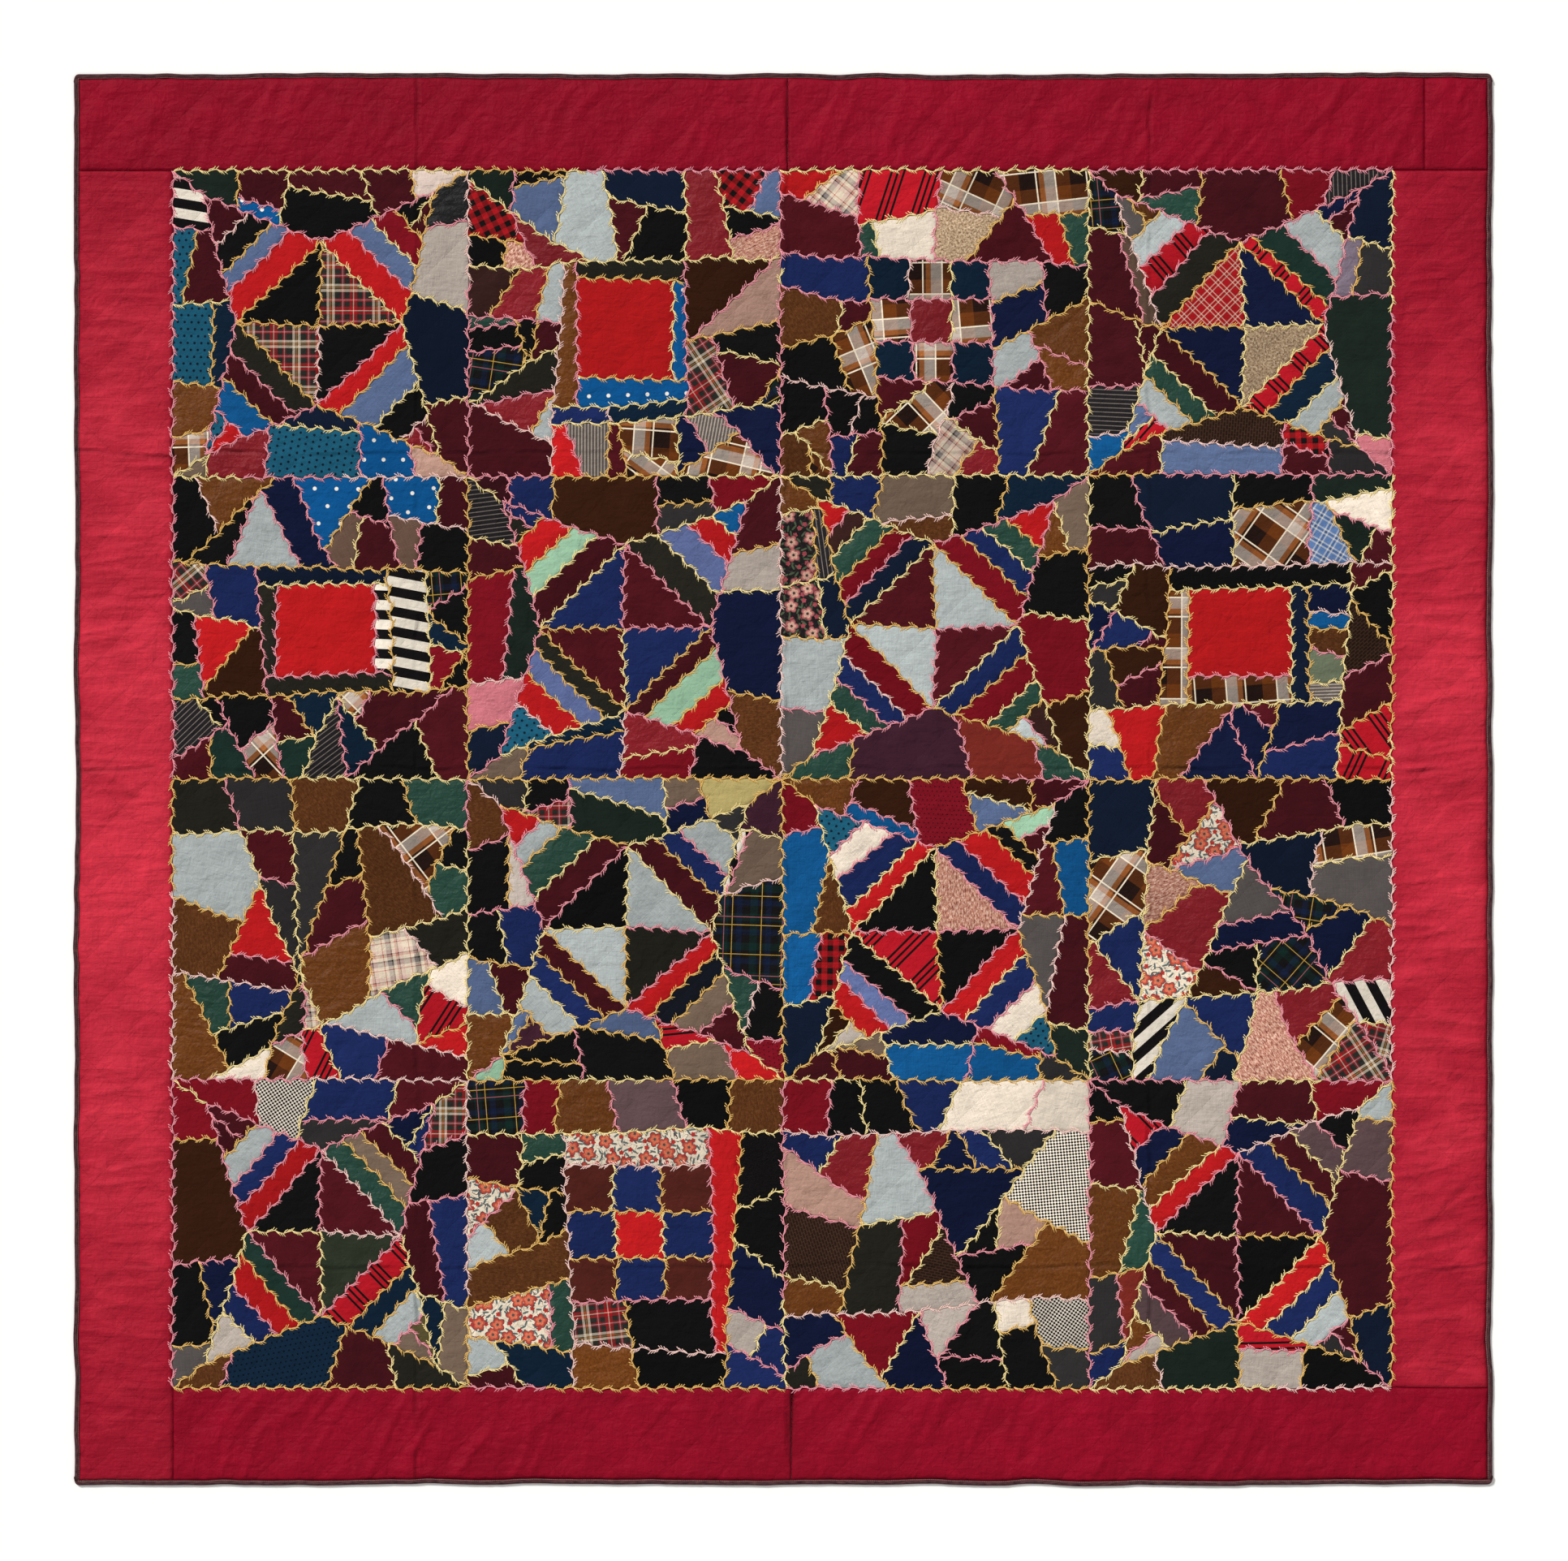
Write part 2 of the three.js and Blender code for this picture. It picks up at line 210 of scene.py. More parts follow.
# One mesh object in metres from points in millimetres. faceSets is a list of (faces, materials, uvs): an
# array of faces with the same number of corners, the material of each and the cloth coordinates of each
# corner.
def makePiece(name, points, faceSets, materials, bakePlaces=None, tones=None):
    mesh = bpy.data.meshes.new(name)
    faces = [face for chosen, _, _ in faceSets for face in np.asarray(chosen).tolist()]
    mesh.from_pydata((np.asarray(points) * mm).tolist(), [], faces)
    slotOf = np.concatenate([np.asarray(slots, int) for _, slots, _ in faceSets])
    mesh.polygons.foreach_set("material_index", slotOf.astype(np.int32))
    mesh.polygons.foreach_set("use_smooth", np.ones(len(faces), bool))
    cloth = mesh.uv_layers.new(name="cloth")
    flatUv = np.concatenate([np.asarray(uv, float).reshape(-1, 2) for _, _, uv in faceSets])
    cloth.data.foreach_set("uv", flatUv.astype(np.float32).ravel())
    if bakePlaces is not None:
        bake = mesh.uv_layers.new(name="OFBake")
        bake.data.foreach_set("uv", np.asarray(bakePlaces, np.float32).ravel())
    if tones is not None:
        tone = mesh.attributes.new("tone", "FLOAT", "POINT")
        tone.data.foreach_set("value", np.asarray(tones, np.float32))
    for material in materials:
        mesh.materials.append(material)
    mesh.update()
    piece = bpy.data.objects.new(name, mesh)
    bpy.context.scene.collection.objects.link(piece)
    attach(piece, "root")
    return piece


# Shader helpers. A colour is given as it looks on a screen, from 0 to 255.
def colour(red, green, blue):
    shares = [part / 255 for part in (red, green, blue)]
    linear = [part / 12.92 if part < 11 / 255 else ((part + 0.055) / 1.055) ** 2.4 for part in shares]
    return (*linear, 1.0)


def addNode(tree, kind, inputs=None, **settings):
    node = tree.nodes.new(kind)
    for key, value in settings.items():
        setattr(node, key, value)
    for key, value in (inputs or {}).items():
        if isinstance(value, bpy.types.NodeSocket):
            tree.links.new(value, node.inputs[key])
        else:
            node.inputs[key].default_value = value
    return node


def maths(tree, operation, first, second=0.0, third=0.0):
    node = addNode(tree, "ShaderNodeMath", {0: first, 1: second, 2: third}, operation=operation)
    return node.outputs[0]


def plus(tree, first, second):
    return maths(tree, "ADD", first, second)


def minus(tree, first, second):
    return maths(tree, "SUBTRACT", first, second)


def times(tree, first, second):
    return maths(tree, "MULTIPLY", first, second)


def over(tree, first, second):
    return maths(tree, "DIVIDE", first, second)


def timesPlus(tree, first, second, third):
    return maths(tree, "MULTIPLY_ADD", first, second, third)


def sizeOf(tree, value):
    return maths(tree, "ABSOLUTE", value)


def lengthOf(tree, x, y):
    return maths(tree, "SQRT", plus(tree, times(tree, x, x), times(tree, y, y)))


def under(tree, value, limit):
    return maths(tree, "LESS_THAN", value, limit)


def partsOf(tree, vector):
    return addNode(tree, "ShaderNodeSeparateXYZ", {0: vector}).outputs


def lightened(tree, shade, value):
    return addNode(tree, "ShaderNodeHueSaturation", {"Value": value, "Color": shade}).outputs[0]


def mixed(tree, amount, first, second):
    node = addNode(tree, "ShaderNodeMix", data_type="RGBA", blend_type="MIX")
    for index, value in ((0, amount), (6, first), (7, second)):
        if isinstance(value, bpy.types.NodeSocket):
            tree.links.new(value, node.inputs[index])
        else:
            node.inputs[index].default_value = value
    return node.outputs[2]


def noiseOf(tree, vector, scale, detail=2.0, roughness=0.5, distortion=0.0):
    values = {"Vector": vector, "Scale": scale, "Detail": detail, "Roughness": roughness,
              "Distortion": distortion}
    return addNode(tree, "ShaderNodeTexNoise", values).outputs["Fac"]


# A noise less its middle value.
def centredNoise(tree, vector, scale, detail=2.0, roughness=0.5, distortion=0.0):
    return minus(tree, noiseOf(tree, vector, scale, detail, roughness, distortion), 0.5)


def stretched(tree, vector, across, along, turn=0.0):
    values = {"Vector": vector, "Scale": (across, along, 1.0), "Rotation": (0.0, 0.0, turn)}
    return addNode(tree, "ShaderNodeMapping", values).outputs[0]


# A step from 0 to 1 between two values.
def ramped(tree, value, low, high):
    values = {"Value": value, "From Min": low, "From Max": high}
    return addNode(tree, "ShaderNodeMapRange", values, clamp=True).outputs[0]


def newGroup(name, inputs, outputs):
    tree = bpy.data.node_groups.new(name, "ShaderNodeTree")
    for label, kind, value in inputs:
        socket = tree.interface.new_socket(label, in_out="INPUT", socket_type="NodeSocket" + kind)
        if value is not None:
            socket.default_value = value
    for label, kind in outputs:
        tree.interface.new_socket(label, in_out="OUTPUT", socket_type="NodeSocket" + kind)
    return tree, tree.nodes.new("NodeGroupInput"), tree.nodes.new("NodeGroupOutput")


def newMaterial(name):
    material = bpy.data.materials.new(name)
    material.use_nodes = True
    return material, material.node_tree, material.node_tree.nodes["Principled BSDF"]


# Gives a shader its colour, its relief and its plain values.
def finishShader(tree, shader, shown, height, strength, distance, values):
    bump = addNode(tree, "ShaderNodeBump", {"Height": height, "Strength": strength, "Distance": distance})
    tree.links.new(shown, shader.inputs["Base Color"])
    tree.links.new(bump.outputs[0], shader.inputs["Normal"])
    for label, value in values.items():
        shader.inputs[label].default_value = value


# Weave: threads at right angles, an uneven thickness along each, slubs, and a slow change of the dye.
def makeWeaveGroup():
    inputs = [("Cloth", "Vector", None), ("Colour", "Color", (0.5, 0.5, 0.5, 1)), ("Pitch", "Float", 0.8),
              ("Contrast", "Float", 0.15), ("Slub", "Float", 0.2), ("Patchiness", "Float", 0.15)]
    tree, entry, result = newGroup("clothWeave", inputs, [("Colour", "Color"), ("Height", "Float")])
    cloth, pitch = entry.outputs["Cloth"], entry.outputs["Pitch"]
    place = partsOf(tree, cloth)
    turns = over(tree, 2 * math.pi, pitch)
    warp = maths(tree, "SINE", times(tree, place[0], turns))
    weft = maths(tree, "SINE", times(tree, place[1], turns))
    threads = times(tree, warp, weft)
    warpSlub = noiseOf(tree, stretched(tree, cloth, 0.85, 0.045), 1.0, 2.0, 0.6)
    weftSlub = noiseOf(tree, stretched(tree, cloth, 0.045, 0.85), 1.0, 2.0, 0.6)
    slub = minus(tree, plus(tree, warpSlub, weftSlub), 1.0)
    slub = times(tree, slub, entry.outputs["Slub"])
    grain = centredNoise(tree, cloth, 0.9, 3.0, 0.7)
    dye = centredNoise(tree, cloth, 0.035, 3.0, 0.55)
    light = times(tree, threads, times(tree, entry.outputs["Contrast"], 0.5))
    light = timesPlus(tree, grain, entry.outputs["Contrast"], light)
    light = timesPlus(tree, slub, 1.6, light)
    light = timesPlus(tree, dye, entry.outputs["Patchiness"], light)
    light = plus(tree, light, 1.0)
    tree.links.new(lightened(tree, entry.outputs["Colour"], light), result.inputs["Colour"])
    height = timesPlus(tree, threads, 0.35, timesPlus(tree, slub, 1.5, grain))
    tree.links.new(height, result.inputs["Height"])
    return tree


quilting = {
    "stitchPitch": 2.5,          # from one running stitch to the next
    "stitchShare": 0.52,         # how much of that the stitch takes
    "threadHalf": (0.7, 0.3),    # away from the line, where the thread begins and where it is full
    "grooveHalf": 4.5,           # how wide the cloth is drawn in
    "grooveDeep": 0.15,          # and how deep
    "stitchDeep": 0.2,           # how much deeper a stitch lies
    "threadShare": 0.6,          # how strongly the thread's own colour shows
    "waver": 4.0,                # how far the lines waver, with a noise of 110 mm
}


# Quilting: both families of lines, each a soft groove with running stitches along it. The stitch mask is a
# thin line times a dash, and the groove falls off from the line.
def makeQuiltingGroup():
    outputs = [("Stitch", "Float"), ("Groove", "Float")]
    tree, entry, result = newGroup("quiltingLines", [("Place", "Vector", None)], outputs)
    place = partsOf(tree, entry.outputs["Place"])
    step, pitch = quilt["quiltingStep"] * mm, quilting["stitchPitch"] * mm
    begins, full = quilting["threadHalf"]
    wave = times(tree, centredNoise(tree, entry.outputs["Place"], 9.0), quilting["waver"] * mm)
    turned = [times(tree, maths(tree, way, place[0], place[1]), math.sqrt(0.5))
              for way in ("ADD", "SUBTRACT")]
    stitches, grooves = [], []
    for across, along in (turned, turned[::-1]):
        moved = plus(tree, across, wave)
        cell = maths(tree, "FRACT", timesPlus(tree, moved, 1 / step, 0.5))
        away = times(tree, sizeOf(tree, minus(tree, cell, 0.5)), step)
        line = ramped(tree, away, begins * mm, full * mm)
        dash = under(tree, maths(tree, "FRACT", over(tree, along, pitch)), quilting["stitchShare"])
        stitches.append(times(tree, line, dash))
        grooves.append(ramped(tree, away, quilting["grooveHalf"] * mm, 0.0))
    tree.links.new(maths(tree, "MAXIMUM", *stitches), result.inputs["Stitch"])
    tree.links.new(maths(tree, "MAXIMUM", *grooves), result.inputs["Groove"])
    return tree


creasing = {
    "broadHigh": 2.2,            # heights of the broad, fine and pulled creases
    "fineHigh": 0.9,
    "pullHigh": 1.1,
    "foldDeep": 1.3,             # depth of the sharp line on a fold of storage
    "foldSway": 20.0,            # how far that line sways
    "foldHalf": (4.5, 0.5),      # away from its middle, where it begins and where it is full
    "foldDark": 0.2,             # how much darker the cloth is on it
    "foldPatches": (0.38, 0.6),  # where a noise lies between these the line fades out
}


# Creases of worn cloth, as a height in millimetres: a broad noise, a finer one, and one stretched aslant as
# where cloth is pulled, and below them the sharp lines of the folds of storage. A line's mask falls off from
# its middle and is multiplied by a noise, so it comes and goes. The mask is also given by itself.
def makeCrumpleGroup():
    outputs = [("Height", "Float"), ("Line", "Float")]
    tree, entry, result = newGroup("clothCreases", [("Place", "Vector", None)], outputs)
    place = entry.outputs["Place"]
    broad = centredNoise(tree, place, 46.0, 2.0, 0.5, 0.7)
    fine = centredNoise(tree, place, 140.0, 2.0, 0.55, 0.9)
    pull = centredNoise(tree, stretched(tree, place, 26.0, 110.0, 0.5), 1.0, 2.0, 0.5, 0.5)
    total = timesPlus(tree, broad, creasing["broadHigh"], times(tree, fine, creasing["fineHigh"]))
    total = timesPlus(tree, pull, creasing["pullHigh"], total)
    parts = partsOf(tree, place)
    sway = times(tree, centredNoise(tree, place, 11.0), creasing["foldSway"] * mm)
    begins, full = creasing["foldHalf"]
    lines = []
    for fold in storageFolds:
        upright = abs(fold["toX"] - fold["fromX"]) < abs(fold["toY"] - fold["fromY"])
        middle = (fold["toX"] + fold["fromX"] if upright else fold["toY"] + fold["fromY"]) / 2
        away = minus(tree, plus(tree, parts[0 if upright else 1], sway), middle * mm)
        lines.append(ramped(tree, sizeOf(tree, away), begins * mm, full * mm))
    line = lines[0]
    for other in lines[1:]:
        line = maths(tree, "MAXIMUM", line, other)
    line = times(tree, line, ramped(tree, noiseOf(tree, place, 17.0), *creasing["foldPatches"]))
    tree.links.new(timesPlus(tree, line, -creasing["foldDeep"], total), result.inputs["Height"])
    tree.links.new(line, result.inputs["Line"])
    return tree


weaveGroup = makeWeaveGroup()
quiltingGroup = makeQuiltingGroup()
crumpleGroup = makeCrumpleGroup()


# A cloth's material. pattern(tree, cloth) gives the colour before the weave; a plain cloth has one colour.
# relief is the depth of the weave in metres, crumple how wrinkled the cloth is, and stitchLight how bright
# the quilting thread is against it.
def makeCloth(name, base, pattern=None, pitch=0.8, contrast=0.16, slub=0.1, patchiness=0.35, rough=0.9,
              shine=0.05, sheen=0.0, relief=0.00012, crumple=1.15, stitchLight=1.35, extraHeight=None,
              quilted=True):
    material, tree, shader = newMaterial(name)
    cloth = addNode(tree, "ShaderNodeUVMap", uv_map="cloth").outputs[0]
    weave = addNode(tree, "ShaderNodeGroup", node_tree=weaveGroup)
    tree.links.new(cloth, weave.inputs["Cloth"])
    weave.inputs["Colour"].default_value = colour(*base)
    if pattern is not None:
        tree.links.new(pattern(tree, cloth), weave.inputs["Colour"])
    threadValues = {"Pitch": pitch, "Contrast": contrast, "Slub": slub, "Patchiness": patchiness}
    for label, value in threadValues.items():
        weave.inputs[label].default_value = value
    place = addNode(tree, "ShaderNodeTexCoord").outputs["Object"]
    creases = addNode(tree, "ShaderNodeGroup", node_tree=crumpleGroup)
    tree.links.new(place, creases.inputs["Place"])
    # tone is the mesh's lightness: random from patch to patch, and on the border also painted sheen and
    # painted shade.
    tone = addNode(tree, "ShaderNodeAttribute", attribute_name="tone").outputs["Fac"]
    # The cloth is darker along the lines of the storage folds.
    tone = timesPlus(tree, creases.outputs["Line"], -creasing["foldDark"], tone)
    shown = lightened(tree, weave.outputs["Colour"], tone)
    height = weave.outputs["Height"]
    if extraHeight is not None:
        height = plus(tree, height, extraHeight(tree, cloth))
    height = timesPlus(tree, creases.outputs["Height"], crumple * mm / relief, height)
    if quilted:
        lines = addNode(tree, "ShaderNodeGroup", node_tree=quiltingGroup)
        tree.links.new(place, lines.inputs["Place"])
        thread = lightened(tree, shown, stitchLight)
        stitch, groove = lines.outputs["Stitch"], lines.outputs["Groove"]
        shown = mixed(tree, times(tree, stitch, quilting["threadShare"]), shown, thread)
        height = timesPlus(tree, groove, -quilting["grooveDeep"] * mm / relief, height)
        height = timesPlus(tree, stitch, -quilting["stitchDeep"] * mm / relief, height)
    finishShader(tree, shader, shown, height, 1.0, relief, {
        "Roughness": rough, "Specular IOR Level": shine, "Sheen Weight": sheen, "Sheen Roughness": 0.5})
    return material


# Bands of colour across one direction, repeated: a ramp with hard steps over the place within the period.
# bands is a list of (width, colour).
def bandsAcross(tree, value, bands):
    period = sum(width for width, _ in bands)
    place = maths(tree, "FRACT", over(tree, value, period))
    ramp = addNode(tree, "ShaderNodeValToRGB", {0: place})
    stops = ramp.color_ramp
    stops.interpolation = "CONSTANT"
    start = 0.0
    for index, (width, shade) in enumerate(bands):
        stop = stops.elements[index] if index < 2 else stops.elements.new(start / period)
        stop.position = start / period
        stop.color = colour(*shade)
        start += width
    return ramp.outputs[0]


# A line of one width in each period: 1 on the line and 0 beside it.
def lineAcross(tree, value, period, at, width):
    place = maths(tree, "FRACT", over(tree, minus(tree, value, at - width / 2), period))
    return under(tree, place, width / period)


# A woven check: the bands of warp and weft seen half and half, with a fine twill where they cross, and over
# them solid lines given as (direction, period, place, width, colour).
def wovenCheck(warpBands, weftBands, lines=()):
    def pattern(tree, cloth):
        x, y = partsOf(tree, cloth)[:2]
        twill = maths(tree, "SINE", times(tree, plus(tree, x, y), 5.2))
        share = timesPlus(tree, twill, 0.12, 0.5)
        shade = mixed(tree, share, bandsAcross(tree, x, warpBands), bandsAcross(tree, y, weftBands))
        for way, period, at, width, tint in lines:
            mask = lineAcross(tree, x if way == "x" else y, period, at, width)
            shade = mixed(tree, mask, shade, colour(*tint))
        return shade
    return pattern


def stripes(bands):
    def pattern(tree, cloth):
        return bandsAcross(tree, partsOf(tree, cloth)[0], bands)
    return pattern


# Round dots in staggered rows: every other row is shifted by half the spacing, and a dot is where the
# distance to the middle of its cell is under the radius.
def dots(ground, dot, spacing, radius):
    def pattern(tree, cloth):
        place = partsOf(tree, cloth)
        row = maths(tree, "FLOOR", over(tree, place[1], spacing))
        shift = times(tree, maths(tree, "MODULO", row, 2.0), 0.5)
        x = minus(tree, maths(tree, "FRACT", plus(tree, over(tree, place[0], spacing), shift)), 0.5)
        y = minus(tree, maths(tree, "FRACT", over(tree, place[1], spacing)), 0.5)
        mask = ramped(tree, lengthOf(tree, x, y), (radius + 0.25) / spacing, (radius - 0.25) / spacing)
        return mixed(tree, mask, colour(*ground), colour(*dot))
    return pattern


# Small squares of two colours by turns.
def smallSquares(first, second, side):
    def pattern(tree, cloth):
        values = {"Vector": cloth, "Scale": 1 / side, "Color1": colour(*first), "Color2": colour(*second)}
        return addNode(tree, "ShaderNodeTexChecker", values).outputs[0]
    return pattern


# Mottled wool: flecks of several shades, chosen by a noise that is stretched along the thread.
def mottled(shades, size, stretch=1.0):
    def pattern(tree, cloth):
        spots = noiseOf(tree, stretched(tree, cloth, 1 / size, 1 / (size * stretch)), 1.0, 3.0, 0.75)
        ramp = addNode(tree, "ShaderNodeValToRGB", {0: spots})
        stops = ramp.color_ramp
        for index, shade in enumerate(shades):
            at = 0.34 + 0.32 * index / (len(shades) - 1)
            stop = stops.elements[index] if index < 2 else stops.elements.new(at)
            stop.position = at
            stop.color = colour(*shade)
        return ramp.outputs[0]
    return pattern


# Small figure of dark bricks in staggered rows on a brown ground.
def brickFigure(ground, figure, wide, high):
    def pattern(tree, cloth):
        values = {"Vector": cloth, "Color1": colour(*figure), "Color2": colour(*figure),
                  "Mortar": colour(*ground), "Scale": 1.0, "Mortar Size": high * 0.2, "Mortar Smooth": 0.4,
                  "Brick Width": wide, "Row Height": high}
        return addNode(tree, "ShaderNodeTexBrick", values).outputs[0]
    return pattern


# Sprigged print of no one maker: round flowers with lobed petals, at random places, with leaves and stems.
# A flower is where the distance to its cell's point is under a radius that swells and shrinks with the
# angle.
def sprigged(ground, petal, heart, leaf, stem, spacing):
    def pattern(tree, cloth):
        def motif(scale, shift, lobes, depth, radius, narrow):
            place = {0: cloth, 1: (shift, shift * 0.7, 0.0)}
            moved = addNode(tree, "ShaderNodeVectorMath", place, operation="ADD").outputs[0]
            values = {"Vector": moved, "Scale": 1 / scale, "Randomness": 0.75}
            cells = addNode(tree, "ShaderNodeTexVoronoi", values, voronoi_dimensions="2D")
            place = {0: moved, 1: cells.outputs["Position"]}
            away = addNode(tree, "ShaderNodeVectorMath", place, operation="SUBTRACT").outputs[0]
            turn = addNode(tree, "ShaderNodeSeparateColor", {0: cells.outputs["Color"]}).outputs[0]
            values = {"Vector": away, "Angle": times(tree, turn, 6.28)}
            turned = addNode(tree, "ShaderNodeVectorRotate", values, rotation_type="Z_AXIS").outputs[0]
            part = partsOf(tree, turned)
            x, y = part[0], times(tree, part[1], narrow)
            distance = lengthOf(tree, x, y)
            angle = maths(tree, "ARCTAN2", y, x)
            lobe = sizeOf(tree, maths(tree, "COSINE", times(tree, angle, lobes / 2)))
            return over(tree, distance, timesPlus(tree, lobe, depth * radius, (1 - depth) * radius))
        flower = motif(spacing, 3.0, 5.0, 0.35, spacing * 0.36, 1.0)
        small = motif(spacing * 0.62, 40.0, 5.0, 0.3, spacing * 0.13, 1.0)
        leaves = motif(spacing * 0.34, 77.0, 2.0, 0.25, spacing * 0.17, 2.7)
        curls = centredNoise(tree, cloth, 1.9 / spacing, 1.0, 0.4, 1.2)
        vine = under(tree, sizeOf(tree, curls), 0.012)
        shade = mixed(tree, vine, colour(*ground), colour(*stem))
        shade = mixed(tree, under(tree, leaves, 1.0), shade, colour(*leaf))
        shade = mixed(tree, under(tree, small, 1.0), shade, colour(*petal))
        shade = mixed(tree, under(tree, flower, 1.12), shade, colour(*stem))
        inner = mixed(tree, ramped(tree, flower, 0.2, 1.0), colour(*heart), colour(*petal))
        ring = under(tree, sizeOf(tree, minus(tree, flower, 0.55)), 0.07)
        inner = mixed(tree, ring, inner, colour(*heart))
        shade = mixed(tree, under(tree, flower, 1.0), shade, inner)
        return mixed(tree, under(tree, flower, 0.24), shade, colour(*stem))
    return pattern


# Curly pile: a strongly distorted noise times its depth.
def curlyPile(size, depth):
    def height(tree, cloth):
        return times(tree, noiseOf(tree, cloth, 1 / size, 2.0, 0.6, 2.5), depth)
    return height


# Crushed silk: a noise stretched into long soft ripples, times its depth.
def ripples(across, along, depth):
    def height(tree, cloth):
        place = stretched(tree, cloth, 1 / across, 1 / along)
        return times(tree, noiseOf(tree, place, 1.0, 2.0, 0.5, 0.6), depth)
    return height


